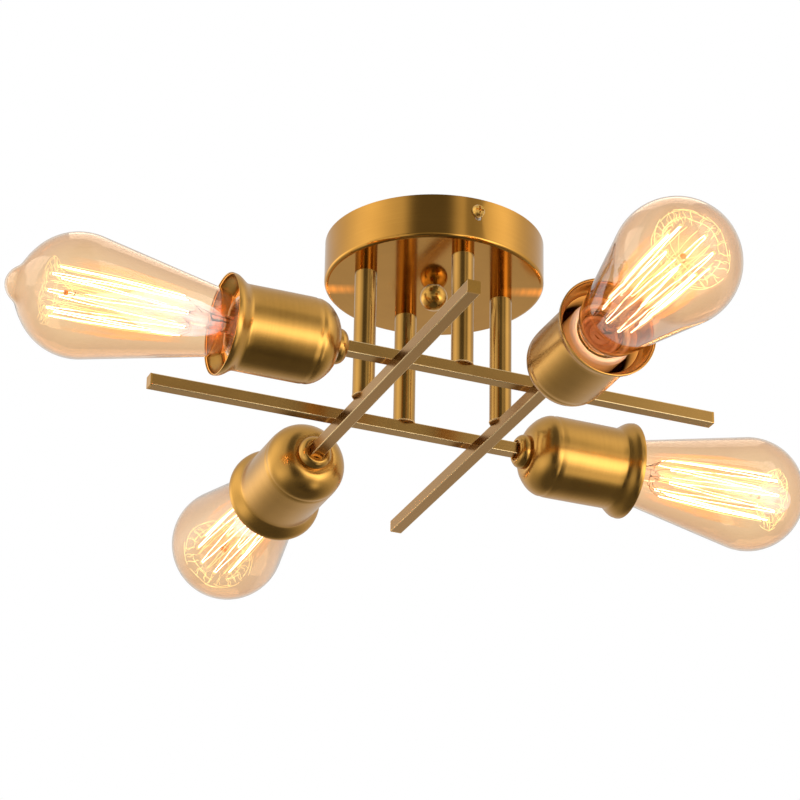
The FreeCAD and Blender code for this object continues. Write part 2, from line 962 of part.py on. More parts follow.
def make_screw_shells():
    """Drawn screw shells that take the bulb's cap; their threads are left plain."""
    made = []
    for arm in ARMS:
        body = new_body("screw_shell_" + arm)
        outer = d.shell_radius
        inner = d.shell_radius - d.shell_wall
        low = holder_floor_front()
        turn(
            body,
            "screw_shell_drawn_" + arm,
            [
                (d.shell_flange_hole, low),
                (outer, low),
                (outer, low + d.shell_length),
                (inner, low + d.shell_length),
                (inner, low + d.shell_wall),
                (d.shell_flange_hole, low + d.shell_wall),
            ],
        )
        made.append(place_on_arm(body, arm))
    return group("screw_shells", made)


def make_centre_contacts():
    """Sprung brass tongues under the bulbs' contact buttons."""
    made = []
    for arm in ARMS:
        body = new_body("centre_contact_" + arm)
        side = wire_side(arm)
        gauge = d.contact_gauge
        low = holder_floor_front()
        high = bulb_contact() - d.contact_gap
        reach = d.contact_width
        profile = new_sketch(body, "centre_contact_profile_" + arm, "YZ_Plane")
        near = d.wire_pair_offset + d.wire_radius
        draw_outline(
            profile,
            [
                (-reach * side, low),
                (near * side, low),
                (near * side, low + gauge),
                (-(reach - gauge) * side, low + gauge),
                (-(reach - gauge) * side, high - gauge),
                (near * side, high - gauge),
                (near * side, high),
                (-reach * side, high),
            ],
        )
        pad(body, "centre_contact_strip_" + arm, profile, d.contact_width, both_sides=True)
        made.append(place_on_arm(body, arm))
    return group("centre_contacts", made)


# ---------------------------------------------------------------- bulbs


def glass_outline(offset, pip):
    """Outside of the bulb's glass from its skirt to its far end, moved inward by offset."""
    ball = d.glass_radius - offset
    centre = bulb_contact() + d.bulb_length - d.glass_radius
    angle = d.glass_taper_angle
    touch_radius = ball * cosine(angle)
    touch_height = centre - ball * sine(angle)
    neck = cap_end() + d.glass_neck_rise
    slope = sine(angle) / cosine(angle)
    neck_radius = touch_radius - slope * (touch_height - neck)
    skirt = d.bulb_cap_radius - d.bulb_cap_wall - d.glass_skirt_gap - offset
    above = cap_end() + d.glass_skirt_gap
    step = skirt + d.glass_neck_step
    corners = [
        (skirt, cap_end() - d.glass_skirt),
        (skirt, above),
        (step, above + offset * 0.4),
        (neck_radius, neck),
        (touch_radius, touch_height, as_size(0), centre, "left"),
    ]
    if not pip:
        return corners + [(as_size(0), centre + ball)]
    base = d.pip_radius * 1.3
    base_height = centre + root(ball * ball - base * base)
    tip = centre + ball + d.pip_length
    round_middle = tip - d.pip_radius
    return corners + [
        (base, base_height),
        (d.pip_radius, round_middle, as_size(0), round_middle, "left"),
        (as_size(0), tip),
    ]


def make_bulb_glass(arm):
    """Blown glass envelope; the one on arm a1 keeps the pip where it was sealed."""
    body = new_body("bulb_" + arm + "_glass")
    outside = glass_outline(as_size(0), arm == "a1")
    inside = glass_outline(d.glass_wall, False)
    ball = d.glass_radius - d.glass_wall
    centre = bulb_contact() + d.bulb_length - d.glass_radius
    # the inner wall is walked back from the far end to the skirt
    back = [(as_size(0), centre + ball, as_size(0), centre, "right")]
    back = back + [corner[:2] for corner in inside[-2::-1]]
    turn(body, "glass_blown_" + arm, outside + back)
    return place_on_arm(body, arm)


def make_bulb_cap(arm):
    """Screw cap of the bulb; its thread is left plain."""
    body = new_body("bulb_" + arm + "_cap")
    outer = d.bulb_cap_radius
    inner = outer - d.bulb_cap_wall
    low = cap_start()
    turn(
        body,
        "cap_drawn_" + arm,
        [
            (d.bulb_cap_end_radius, low),
            (outer, low + d.bulb_cap_taper),
            (outer, cap_end()),
            (inner, cap_end()),
            (inner, low + d.bulb_cap_taper + d.bulb_cap_wall),
            (d.bulb_cap_end_radius - d.bulb_cap_wall, low + d.bulb_cap_wall),
            (d.bulb_cap_end_radius - d.bulb_cap_wall, low),
        ],
    )
    return place_on_arm(body, arm)


def make_bulb_contact(arm):
    """Dark glass insulator with the metal contact button at its tip, one turned piece each."""
    low = bulb_contact()
    seat = low + d.bulb_button_height
    top = cap_start() - d.bulb_joint_gap
    wide = d.bulb_cap_end_radius - d.bulb_joint_gap
    insulator = new_body("bulb_" + arm + "_insulator")
    narrow = d.bulb_button_radius + 1
    turn(
        insulator,
        "insulator_moulded_" + arm,
        [(as_size(0), seat), (narrow, seat), (wide, top), (as_size(0), top)],
    )
    button = new_body("bulb_" + arm + "_button")
    rim = d.bulb_button_radius
    turn(
        button,
        "button_pressed_" + arm,
        [(as_size(0), low), (rim * 0.6, low), (rim, seat), (as_size(0), seat)],
    )
    both = [place_on_arm(insulator, arm), place_on_arm(button, arm)]
    return group("bulb_" + arm + "_contact", both)


def make_bulb_mount(arm):
    """Glass foot inside the bulb: flare, tube, press and the rod that holds the filament's hooks."""
    body = new_body("bulb_" + arm + "_mount")
    low = cap_end() - d.glass_skirt
    skirt = d.bulb_cap_radius - d.bulb_cap_wall - d.glass_skirt_gap - d.glass_wall
    flare = skirt - d.glass_skirt_gap
    press = cap_end() + d.mount_press_height
    rod = d.mount_rod_radius
    top = cap_end() + d.mount_rod_top
    turn(
        body,
        "mount_formed_" + arm,
        [
            (as_size(0), low),
            (flare, low),
            (flare, low + d.mount_flare),
            (d.mount_tube_radius, low + d.glass_skirt),
            (d.mount_tube_radius, press),
            (rod, press + d.mount_tube_radius),
            (rod, top),
            (rod * 2, top + rod),
            (rod, top + rod * 2.5),
            (as_size(0), top + rod * 3),
        ],
    )
    return place_on_arm(body, arm)


def hook_points(number):
    """The two points where the filament turns over one hook; even hooks are low, odd ones high."""
    step = 2 * math.pi / (FILAMENT_STRANDS + 1)
    is_low = number % 2 == 0
    radius = (d.filament_low_radius if is_low else d.filament_high_radius).number
    height = (cap_end() + (d.filament_low if is_low else d.filament_high)).number
    half = (d.filament_hook_width / 2).number / radius
    angles = (step * number - half, step * number + half)
    return [FreeCAD.Vector(radius * math.cos(angle), radius * math.sin(angle), height) for angle in angles]


def filament_points():
    """The filament's way from the mount over low and high hooks in turn and back, in arm coordinates."""
    points = []
    for number in range(FILAMENT_STRANDS + 1):
        points.extend(hook_points(number))
    tube_side = (d.mount_tube_radius + d.filament_radius + d.glass_skirt_gap).number
    inward = tube_side / d.filament_low_radius.number
    for place_in_list in (0, -1):
        tip = points[place_in_list]
        points[place_in_list] = FreeCAD.Vector(tip.x * inward, tip.y * inward, tip.z)
    return points


def make_bulb_filament(arm):
    """One long wire that runs up and down between the hooks, as a cage round the rod."""
    points = filament_points()
    radius = d.filament_radius.number
    spine = Part.makePolygon(points)
    ring = Part.Wire(Part.makeCircle(radius, points[0], points[1] - points[0]))
    sweep = Part.BRepOffsetAPI.MakePipeShell(spine)
    sweep.setTransitionMode(1)
    sweep.add(ring)
    sweep.build()
    sweep.makeSolid()
    feature = DOC.addObject("Part::Feature", "bulb_" + arm + "_filament")
    feature.Label = "bulb_" + arm + "_filament"
    feature.Shape = sweep.shape()
    return place_on_arm(feature, arm)


# ---------------------------------------------------------------- wiring


def rounded_route(points, radii):
    """A path of straight runs joined by arcs; each inner point has its own bend radius."""
    edges = []
    start = points[0]
    for number in range(1, len(points) - 1):
        corner = points[number]
        back = (points[number - 1] - corner).normalize()
        ahead = (points[number + 1] - corner).normalize()
        half = back.getAngle(ahead) / 2
        reach = radii[number - 1] / math.tan(half)
        inner = (back + ahead).normalize()
        first = corner + back * reach
        last = corner + ahead * reach
        centre = corner + inner * (radii[number - 1] / math.sin(half))
        middle = centre - inner * radii[number - 1]
        if (first - start).Length > 1e-6:
            edges.append(Part.LineSegment(start, first).toShape())
        edges.append(Part.Arc(first, middle, last).toShape())
        start = last
    edges.append(Part.LineSegment(start, points[-1]).toShape())
    return Part.Wire(edges)


def swept_wire(points, radii):
    path = rounded_route(points, radii)
    heading = points[1] - points[0]
    ring = Part.Wire(Part.makeCircle(d.wire_radius.number, points[0], heading))
    return path.makePipeShell([ring], True, True)


def splice_point(kind):
    """Where the four line wires or the four neutral wires meet in their connector."""
    offset = d.splice_offset.number
    return FreeCAD.Vector(offset, offset, 0) if kind == "line" else FreeCAD.Vector(-offset, -offset, 0)


def wire_level(kind):
    return -(d.line_level if kind == "line" else d.neutral_level).number


def connector_drop(kind):
    """How far the connector's mouth lies under the ceiling: just under the bend of its wires."""
    level = d.line_level if kind == "line" else d.neutral_level
    return level + d.wire_bend + d.wire_play


def connector_length():
    """The connectors fill the room between the lower wires and the canopy's plate."""
    return d.canopy_height - d.canopy_wall - d.connector_clearance - connector_drop("neutral")


def connector_depth():
    return connector_length() - d.connector_end


def wire_route(arm, kind):
    """Corner points of one wire, from the lampholder along the bar, up the stem to its connector."""
    outward = OUTWARD[arm]
    side = FreeCAD.Vector(*STEM_SIDE[arm], 0)
    away = 1 if kind == "line" else -1
    pitch = stem_pitch().number
    offset = d.wire_pair_offset.number
    column = side * (pitch + offset * away)
    middle = FreeCAD.Vector(0, 0, bar_middle(arm).number)
    floor_front = holder_floor_front().number - d.wire_play.number
    points = [column + middle + outward * floor_front]
    radii = []
    if kind == "neutral":
        shift = side * (pitch - neutral_terminal().number) + middle
        chamber = (holder_back() + d.holder_back_wall).number
        points = [shift + outward * floor_front]
        points.append(shift + outward * (holder_floor_back().number - d.wire_bend.number))
        points.append(column + middle + outward * (chamber + d.wire_bend.number / 2))
        radii = [d.wire_bend.number / 2] * 2
    points.append(column + middle)
    radii.append(d.wire_bend.number)
    level = wire_level(kind)
    points.append(column + FreeCAD.Vector(0, 0, level))
    radii.append(d.wire_bend.number)
    splice = splice_point(kind)
    approach = (column - splice).normalize()
    landing = splice + approach * d.splice_ring.number
    points.append(landing + FreeCAD.Vector(0, 0, level))
    radii.append(d.wire_bend.number)
    bottom = -(connector_drop(kind) + connector_depth() - d.wire_play * 2).number
    points.append(landing + FreeCAD.Vector(0, 0, bottom))
    return points, radii


def make_wires(kind):
    """Four insulated wires of one kind, one for each arm."""
    shapes = []
    for arm in ARMS:
        points, radii = wire_route(arm, kind)
        shapes.append(swept_wire(points, radii))
    feature = DOC.addObject("Part::Feature", kind + "_wires")
    feature.Label = kind + "_wires"
    feature.Shape = Part.makeCompound(shapes)
    return feature


def make_wire_connectors():
    """Two twist-on connectors, open at the top, that join the four arms' wires."""
    made = []
    for kind in ("line", "neutral"):
        mouth = -connector_drop(kind)
        bottom = mouth - connector_length()
        body = new_body("wire_connector_" + kind)
        turn(
            body,
            "wire_connector_moulded_" + kind,
            [
                (as_size(0), bottom),
                (d.connector_radius * 0.6, bottom),
                (d.connector_radius * 0.75, bottom + connector_length() * 0.6),
                (d.connector_radius, mouth - connector_length() * 0.2),
                (d.connector_radius, mouth),
                (d.connector_bore, mouth),
                (d.connector_bore, mouth - connector_depth()),
                (as_size(0), mouth - connector_depth()),
            ],
        )
        offset = d.splice_offset if kind == "line" else -d.splice_offset
        made.append(place(body, offset, offset, 0))
    return group("wire_connectors", made)


# ---------------------------------------------------------------- the whole light


def make_everything():
    """Every sub-part that gets a file of its own."""
    parts = [make_mounting_bracket(), make_canopy(), make_canopy_screws(), make_ground_screw()]
    parts += [make_finial_ball(), make_finial_stud(), make_finial_nut()]
    parts += [make_stem_nipples(), make_stem_washers(), make_stem_nuts()]
    parts += [make_bar_end_plugs(), make_bar_nipples(), make_holder_nuts()]
    parts += [make_screw_shells(), make_centre_contacts()]
    parts += [make_wires("line"), make_wires("neutral"), make_wire_connectors()]
    for arm in ARMS:
        parts += [make_stem(arm), make_bar(arm), make_collar(arm), make_cup(arm), make_lampholder(arm)]
        parts += [make_bulb_glass(arm), make_bulb_cap(arm), make_bulb_contact(arm)]
        parts += [make_bulb_mount(arm), make_bulb_filament(arm)]
    return parts


def check_document(parts):
    """Stop if any object failed to compute or any sub-part is not a sound solid."""
    for thing in DOC.Objects:
        if "Invalid" in thing.State or "Error" in thing.State:
            raise RuntimeError(f"{thing.Label} did not compute: {thing.State}")
    for part in parts:
        if part.Shape.isNull() or not part.Shape.isValid() or not part.Shape.Solids:
            raise RuntimeError(f"{part.Label} is not a valid solid")
        for solid in part.Shape.Solids:
            if solid.Volume <= 0:
                raise RuntimeError(f"{part.Label} has a solid turned inside out")


def write_parts(parts):
    os.makedirs("parts", exist_ok=True)
    for part in parts:
        part.Shape.exportStep(f"parts/{part.Label}.step")
        print(part.Label, len(part.Shape.Solids), round(part.Shape.Volume, 1))


fill_sheet()
PARTS = make_everything()
DOC.recompute()
check_document(PARTS)
write_parts(PARTS)
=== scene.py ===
"""Looks of the semi flush ceiling light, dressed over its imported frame.

Profiles, runs and places along an arm are in millimetres; materials, lamps and tent in metres.
"""

import math

import bpy
from mathutils import Matrix, Vector


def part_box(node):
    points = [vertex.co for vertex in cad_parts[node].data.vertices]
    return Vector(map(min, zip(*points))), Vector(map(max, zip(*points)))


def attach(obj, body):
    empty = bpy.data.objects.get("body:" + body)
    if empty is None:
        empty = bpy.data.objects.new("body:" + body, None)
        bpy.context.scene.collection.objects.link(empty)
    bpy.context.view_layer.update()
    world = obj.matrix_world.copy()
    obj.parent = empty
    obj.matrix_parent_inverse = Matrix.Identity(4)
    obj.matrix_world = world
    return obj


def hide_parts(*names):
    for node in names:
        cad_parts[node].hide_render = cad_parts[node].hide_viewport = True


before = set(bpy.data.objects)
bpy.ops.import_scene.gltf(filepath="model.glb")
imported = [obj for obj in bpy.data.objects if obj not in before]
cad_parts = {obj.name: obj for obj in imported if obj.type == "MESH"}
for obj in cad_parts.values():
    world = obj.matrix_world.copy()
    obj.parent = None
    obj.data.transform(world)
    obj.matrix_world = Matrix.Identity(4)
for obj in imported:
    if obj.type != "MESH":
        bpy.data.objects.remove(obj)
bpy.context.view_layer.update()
MM = 0.001
ARMS = ["a1", "a2", "b1", "b2"]
OUTWARD = {
    "a1": Vector((-1, 0, 0)),
    "a2": Vector((1, 0, 0)),
    "b1": Vector((0, 1, 0)),
    "b2": Vector((0, -1, 0)),
}
UP = Vector((0, 0, 1))

# Places along an arm, counted from its stem.
COLLAR_START = 67.0
CUP_BACK = 73.0
CUP_RIM = 135.0
HOLDER_FRONT = 127.0
CAP_START = 107.5
CAP_END = 128.0
BALL_MIDDLE = 211.8
HIGH_HOOKS = 225.0

# Sizes of the pieces that are redrawn.
CUP_WALL = 0.8
CUP_HOLE = 5.05
# Gap and wall of the skin that carries the painted lamp glow inside each cup.
GLOW_SKIN_GAP = 0.06
GLOW_SKIN_WALL = 0.03
BALL_RADIUS = 32.5
CONE_DEGREES = 11.6
NECK_RADIUS = 12.45
NECK_END = 128.2
CONE_START = 139.2
GLASS_WALL = 0.9
THREAD_PITCH = 3.629
THREAD_DEPTH = 0.55
THREAD_FADE_IN = 2.0
THREAD_FADE_OUT = 1.5
CAP_RADIUS = 12.98
CAP_PLAIN_RIM = 3.2
STRANDS = 16
HOOK_STEP = 2 * math.pi / (STRANDS + 1)
LOW_CROWN = 10.6
HIGH_CROWN = 13.0


# ---------------------------------------------------------------- node materials

# Noise scale across brush lines, along straight ones and along turned ones.
BRUSH_ACROSS = 2600.0
BRUSH_ALONG = 7.0
BRUSH_ROUND = 14.0
# Share of a bar's half side at which its painted edge highlight starts, and where it is full.
ARRIS_START = 0.82
ARRIS_FULL = 0.9
# Pale brass painted along the bars' edges as a highlight.
EDGE_HIGHLIGHT_BRASS = (0.9, 0.66, 0.34)
PAN_UNDERSIDE = -0.0241
PAN_INSIDE = 0.0589
# Which way the painted orange highlight band crosses the pan, as its cosine and sine.
HIGHLIGHT_BAND_WAY = (0.926, 0.377)


class Shader:
    """Short way to write a material's nodes."""

    def __init__(self, name):
        self.material = bpy.data.materials.new(name)
        self.material.use_nodes = True
        self.tree = self.material.node_tree
        self.surface = self.tree.nodes["Principled BSDF"]
        self.output = self.tree.nodes["Material Output"]

    def node(self, kind, settings=None, **inputs):
        made = self.tree.nodes.new(kind)
        for key, value in (settings or {}).items():
            setattr(made, key, value)
        for key, value in inputs.items():
            self.feed(made, key.replace("_", " "), value)
        return made

    def feed(self, node, key, value):
        socket = node.inputs[int(key)] if key.isdigit() else node.inputs[key]
        if isinstance(value, bpy.types.NodeSocket):
            self.tree.links.new(value, socket)
        else:
            socket.default_value = value

    def set(self, **inputs):
        for key, value in inputs.items():
            self.feed(self.surface, key.replace("_", " "), value)

    def math(self, operation, first, second=0.0, third=0.0):
        node = self.node("ShaderNodeMath", {"operation": operation})
        for number, value in enumerate((first, second, third)):
            self.feed(node, str(number), value)
        return node.outputs[0]

    def place(self):
        return self.node("ShaderNodeTexCoord").outputs["Object"]

    def axes(self):
        """The three object coordinates, each by itself."""
        return self.node("ShaderNodeSeparateXYZ", Vector=self.place()).outputs

    def stretched(self, scale):
        """Object coordinates, scaled along each axis."""
        mapping = self.node("ShaderNodeMapping", Vector=self.place())
        mapping.inputs["Scale"].default_value = scale
        return mapping.outputs[0]

    def off_axis(self, x, y):
        """Distance from the Z axis."""
        squares = self.math("MULTIPLY", x, x), self.math("MULTIPLY", y, y)
        return self.math("SQRT", self.math("ADD", *squares))

    def turned(self, fine, slow):
        """Coordinates that change fast outward and along Z, and slowly round Z."""
        x, y, z = self.axes()
        first = self.math("MULTIPLY_ADD", self.off_axis(x, y), fine, self.math("MULTIPLY", x, slow))
        second = self.math("MULTIPLY_ADD", z, fine, self.math("MULTIPLY", y, slow))
        return self.node("ShaderNodeCombineXYZ", X=first, Y=second).outputs[0]

    def arris(self, first, second, half):
        """High close to a square bar's long edges.

        first and second are an axis and how far the bar's middle lies from 0 on it.
        """
        coordinates = self.axes()
        near = []
        for axis, middle in (first, second):
            off = self.math("SUBTRACT", self.math("ABSOLUTE", coordinates[axis]), middle)
            near.append(self.math("DIVIDE", self.math("ABSOLUTE", off), half))
        return self.ramp(self.math("MINIMUM", near[0], near[1]), ARRIS_START, ARRIS_FULL)

    def noise(self, vector, scale, detail, roughness):
        inputs = {"Vector": vector, "Scale": scale, "Detail": detail, "Roughness": roughness}
        return self.node("ShaderNodeTexNoise", **inputs).outputs["Fac"]

    def ramp(self, value, low, high, start=0.0, end=1.0):
        """From start to end while value goes from low to high, and level beyond them."""
        ends = {"From_Min": low, "From_Max": high, "To_Min": start, "To_Max": end}
        return self.node("ShaderNodeMapRange", Value=value, **ends).outputs[0]

    def between(self, share, first, second):
        node = self.node("ShaderNodeMix", {"data_type": "RGBA"})
        self.feed(node, "0", share)
        for key, colour in (("6", first), ("7", second)):
            given = isinstance(colour, bpy.types.NodeSocket)
            self.feed(node, key, colour if given else (*colour, 1.0))
        return node.outputs[2]

    def bump(self, height, strength, distance=0.0001):
        node = self.node("ShaderNodeBump", Height=height, Strength=strength, Distance=distance)
        self.feed(self.surface, "Normal", node.outputs[0])


def brushed_brass(name, grain, light, dark, rough, sheen, lines_height=0.03, edge_highlight=None):
    """Lacquered antique brass with fine brush lines that follow the way the piece was finished, and
    a painted highlight along a bar's edges where asked.
    """
    s = Shader(name)
    if grain == "turned":
        lines = s.turned(BRUSH_ACROSS, BRUSH_ROUND)
    else:
        lines = s.stretched([BRUSH_ALONG if axis == grain else BRUSH_ACROSS for axis in "xyz"])
    streak = s.noise(lines, 1.0, 4.0, 0.6)
    cloud = s.noise(s.place(), 38.0, 3.0, 0.5)
    tone = s.math("MULTIPLY_ADD", streak, 0.45, s.math("MULTIPLY", cloud, 0.55))
    colour = s.between(s.ramp(tone, 0.35, 0.65), dark, light)
    smooth = s.ramp(cloud, 0.3, 0.7, rough - 0.055, rough - 0.015)
    roughness = s.math("MULTIPLY_ADD", streak, 0.07, smooth)
    if edge_highlight:
        # Painted highlight: paler, rougher brass along the bar's edges.
        arris = s.arris(*edge_highlight)
        colour = s.between(arris, colour, EDGE_HIGHLIGHT_BRASS)
        roughness = s.math("MULTIPLY_ADD", arris, 0.2, roughness)
    s.set(Base_Color=colour, Metallic=1.0, Roughness=roughness)
    s.surface.inputs["Anisotropic"].default_value = sheen
    s.bump(streak, lines_height)
    return s


def lit_inside(s, start, full, level):
    """Paints the lamp's glow on the inside of a cup as orange emission, stronger towards its rim.
    """
    streak = s.noise(s.turned(900.0, 30.0), 1.0, 3.0, 0.6)
    along = s.math("MULTIPLY_ADD", streak, 0.006, s.axes()[2])
    s.surface.inputs["Emission Color"].default_value = (1.0, 0.4, 0.08, 1.0)
    s.set(Emission_Strength=s.ramp(along, start, full, 0.0, level))
    return s.material


def pan_finish(s, level):
    """Paints an orange highlight as emission in a band at both sides of the pan's flat face, and
    paints shade on its inside as a dark, rougher colour.
    """
    x, y, z = s.axes()
    way, off = HIGHLIGHT_BAND_WAY
    side = s.math("ABSOLUTE", s.math("MULTIPLY_ADD", x, way, s.math("MULTIPLY", y, -off)))
    depth = s.math("MULTIPLY_ADD", x, off, s.math("MULTIPLY_ADD", y, way, -0.004))
    # Painted highlight: a band of orange emission across the pan's flat face, towards both sides.
    band = s.ramp(s.math("ABSOLUTE", depth), 0.001, 0.0065, 1.0, 0.0)
    face = s.ramp(z, PAN_UNDERSIDE - 0.0005, PAN_UNDERSIDE, 1.0, 0.0)
    reach = s.math("MULTIPLY", s.ramp(side, 0.036, 0.058), face)
    patch = s.ramp(s.noise(s.turned(500.0, 20.0), 1.0, 2.0, 0.5), 0.3, 0.7, 0.5, level)
    s.surface.inputs["Emission Color"].default_value = (1.0, 0.26, 0.02, 1.0)
    strength = s.math("MULTIPLY", s.math("MULTIPLY", band, reach), s.math("MULTIPLY", patch, level))
    # Painted shade: the pan's inside turns dark brown and rougher.
    within = s.ramp(s.off_axis(x, y), PAN_INSIDE, PAN_INSIDE + 0.0004, 1.0, 0.0)
    inside = s.math("MULTIPLY", within, s.ramp(z, PAN_UNDERSIDE, PAN_UNDERSIDE + 0.0002))
    lacquer = s.surface.inputs["Base Color"].links[0].from_socket
    grain = s.surface.inputs["Roughness"].links[0].from_socket
    s.set(
        Emission_Strength=strength,
        Base_Color=s.between(inside, lacquer, (0.13, 0.08, 0.03)),
        Roughness=s.math("MAXIMUM", grain, s.math("MULTIPLY", inside, 0.55)),
    )
    return s.material


def plain_metal(name, light, dark, rough):
    """Plated or drawn metal with faint handling marks."""
    s = Shader(name)
    patch = s.noise(s.place(), 400.0, 4.0, 0.6)
    s.set(Base_Color=s.between(s.ramp(patch, 0.35, 0.65), dark, light), Metallic=1.0)
    s.set(Roughness=s.ramp(patch, 0.3, 0.7, rough - 0.05, rough + 0.08))
    s.bump(patch, 0.08)
    return s.material


def smooth_coat(name, light, dark, rough, coat=0.0, fine=220.0):
    """Plastic, paint or glaze with a slight mottle."""
    s = Shader(name)
    patch = s.noise(s.place(), fine, 3.0, 0.5)
    s.set(Base_Color=s.between(s.ramp(patch, 0.3, 0.7), dark, light))
    s.set(Roughness=s.ramp(patch, 0.3, 0.7, rough - 0.04, rough + 0.06))
    s.surface.inputs["Coat Weight"].default_value = coat
    s.bump(patch, 0.06)
    return s.material


def bulb_glass(name, tint, deep):
    """Thin amber glass: warmer where it is thick to look through, clear to lamp light."""
    s = Shader(name)
    waves = s.noise(s.stretched((14, 14, 5)), 1.0, 2.0, 0.4)
    rim = s.node("ShaderNodeLayerWeight", Blend=0.5).outputs["Facing"]
    body = s.between(s.ramp(s.math("MULTIPLY_ADD", waves, 0.1, rim), 0.1, 1.0), tint, deep)
    colour = s.between(s.ramp(rim, 0.8, 0.97), body, [part * 0.42 for part in deep])
    s.set(Base_Color=colour, Roughness=0.015, IOR=1.45)
    s.surface.inputs["Transmission Weight"].default_value = 1.0
    s.bump(waves, 0.1, 0.002)
    lit = s.node("ShaderNodeBsdfTransparent")
    lit.inputs[0].default_value = (1.0, 0.9, 0.78, 1.0)
    mix = s.node("ShaderNodeMixShader")
    path = s.node("ShaderNodeLightPath")
    s.feed(mix, "0", path.outputs["Is Shadow Ray"])
    s.feed(mix, "1", s.surface.outputs[0])
    s.feed(mix, "2", lit.outputs[0])
    s.feed(s.output, "Surface", mix.outputs[0])
    return s.material


def glowing(name, bright, warm, strength):
    """Glowing wire, whiter in some patches than in others: the hot filament, and painted glow on
    the hooks and the glints.
    """
    s = Shader(name)
    patch = s.noise(s.stretched((90, 90, 60)), 1.0, 3.0, 0.6)
    colour = s.between(s.ramp(patch, 0.3, 0.65), warm, bright)
    s.set(Base_Color=(0.3, 0.12, 0.03, 1.0), Emission_Color=colour, Roughness=0.6)
    s.surface.inputs["Emission Strength"].default_value = strength
    return s.material


def halo(name, warm, bright, stretch, cover, strength):
    """Streaks of glow, fading towards both ends of their stretch along the bulb."""
    s = Shader(name)
    low, high = stretch
    streak = s.noise(s.stretched((260, 260, 14)), 1.0, 3.0, 0.6)
    along = s.axes()[2]
    reach = (high - low) * 0.35
    rise = s.ramp(along, low, low + reach)
    fall = s.ramp(along, high, high - reach)
    share = s.math("MULTIPLY", s.math("MULTIPLY", rise, fall), s.ramp(streak, 0.42, 0.6, *cover))
    s.set(Base_Color=(0.5, 0.2, 0.04, 1.0), Roughness=0.9, Alpha=share)
    s.set(Emission_Color=s.between(s.ramp(streak, 0.4, 0.7), warm, bright))
    s.surface.inputs["Emission Strength"].default_value = strength
    s.surface.inputs["Specular IOR Level"].default_value = 0.0
    return s.material


def worn_edges(bar, across):
    """Where the middle of this bar lies, across and in height, and half its side, for its painted
    edge highlight.
    """
    low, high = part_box(bar)
    middle, half = (low + high) / 2, (high.z - low.z) / 2
    return (across, abs(middle[across])), (2, abs(middle.z)), half


BRASS = ((0.63, 0.338, 0.078), (0.53, 0.278, 0.06))
PAN = ((0.63, 0.315, 0.06), (0.55, 0.27, 0.05))
BAR_A = ((0.47, 0.262, 0.072), (0.425, 0.234, 0.062))
BAR_B = ((0.47, 0.25, 0.066), (0.42, 0.222, 0.057))
STEM = ((0.53, 0.285, 0.066), (0.42, 0.22, 0.05))
SCREW = ((0.92, 0.56, 0.14), (0.72, 0.4, 0.09))
POLISHED = ((0.7, 0.37, 0.075), (0.54, 0.28, 0.055))
WELD = ((0.95, 0.68, 0.34), (0.8, 0.52, 0.22))
EDGES_A = worn_edges("bar_a1", 1)
EDGES_B = worn_edges("bar_b1", 0)

BRASS_TURNED = brushed_brass("brass_turned", "turned", *BRASS, 0.24, 0.35).material
BRASS_PLATE = pan_finish(brushed_brass("brass_plate", "turned", *PAN, 0.1, 0.0), 0.95)
BRASS_X = brushed_brass("brass_along_x", "x", *BAR_A, 0.24, 0.0, 0.003, EDGES_A).material
BRASS_Y = brushed_brass("brass_along_y", "y", *BAR_B, 0.24, 0.0, 0.003, EDGES_B).material
BRASS_Z = brushed_brass("brass_along_z", "z", *STEM, 0.18, 0.0, 0.015).material
BRASS_GLOW_SKIN = brushed_brass("brass_painted_glow", "turned", *BRASS, 0.3, 0.2)
BRASS_PAINTED_GLOW = lit_inside(BRASS_GLOW_SKIN, 0.114, 0.136, 1.3)
BRASS_SCREW = brushed_brass("brass_screw", "turned", *SCREW, 0.34, 0.0).material
BRASS_BRIGHT = brushed_brass("brass_polished", "turned", *POLISHED, 0.2, 0.2).material
BRASS_WELD = brushed_brass("brass_weld", "turned", *WELD, 0.6, 0.0).material
ZINC = plain_metal("zinc_plate", (0.72, 0.73, 0.72), (0.55, 0.56, 0.57), 0.34)
GREEN = smooth_coat("green_paint", (0.06, 0.36, 0.12), (0.03, 0.25, 0.08), 0.3, 0.3)
SHELL = plain_metal("shell_metal", (0.82, 0.76, 0.66), (0.66, 0.6, 0.5), 0.25)
CAP = plain_metal("cap_metal", (0.8, 0.62, 0.36), (0.6, 0.45, 0.24), 0.26)
CERAMIC = smooth_coat("white_glaze", (0.86, 0.8, 0.74), (0.76, 0.7, 0.64), 0.14, 0.5, 90.0)
AMBER = bulb_glass("amber_glass", (0.95, 0.79, 0.595), (0.74, 0.49, 0.32))
CLEAR = bulb_glass("stem_glass", (0.98, 0.88, 0.82), (0.86, 0.66, 0.56))
HOT = glowing("hot_filament", (1.0, 0.92, 0.76), (1.0, 0.8, 0.5), 12.0)
THREAD = glowing("fine_filament", (1.0, 0.84, 0.46), (1.0, 0.64, 0.22), 2.4)
# Painted glow for the high hooks and the far glints, which are no filament.
BRIGHT_GLINT = glowing("painted_glint_bright", (1.0, 0.86, 0.42), (1.0, 0.7, 0.26), 4.2)
DIM_GLOW = glowing("painted_glow_dim", (1.0, 0.86, 0.5), (1.0, 0.7, 0.3), 2.0)
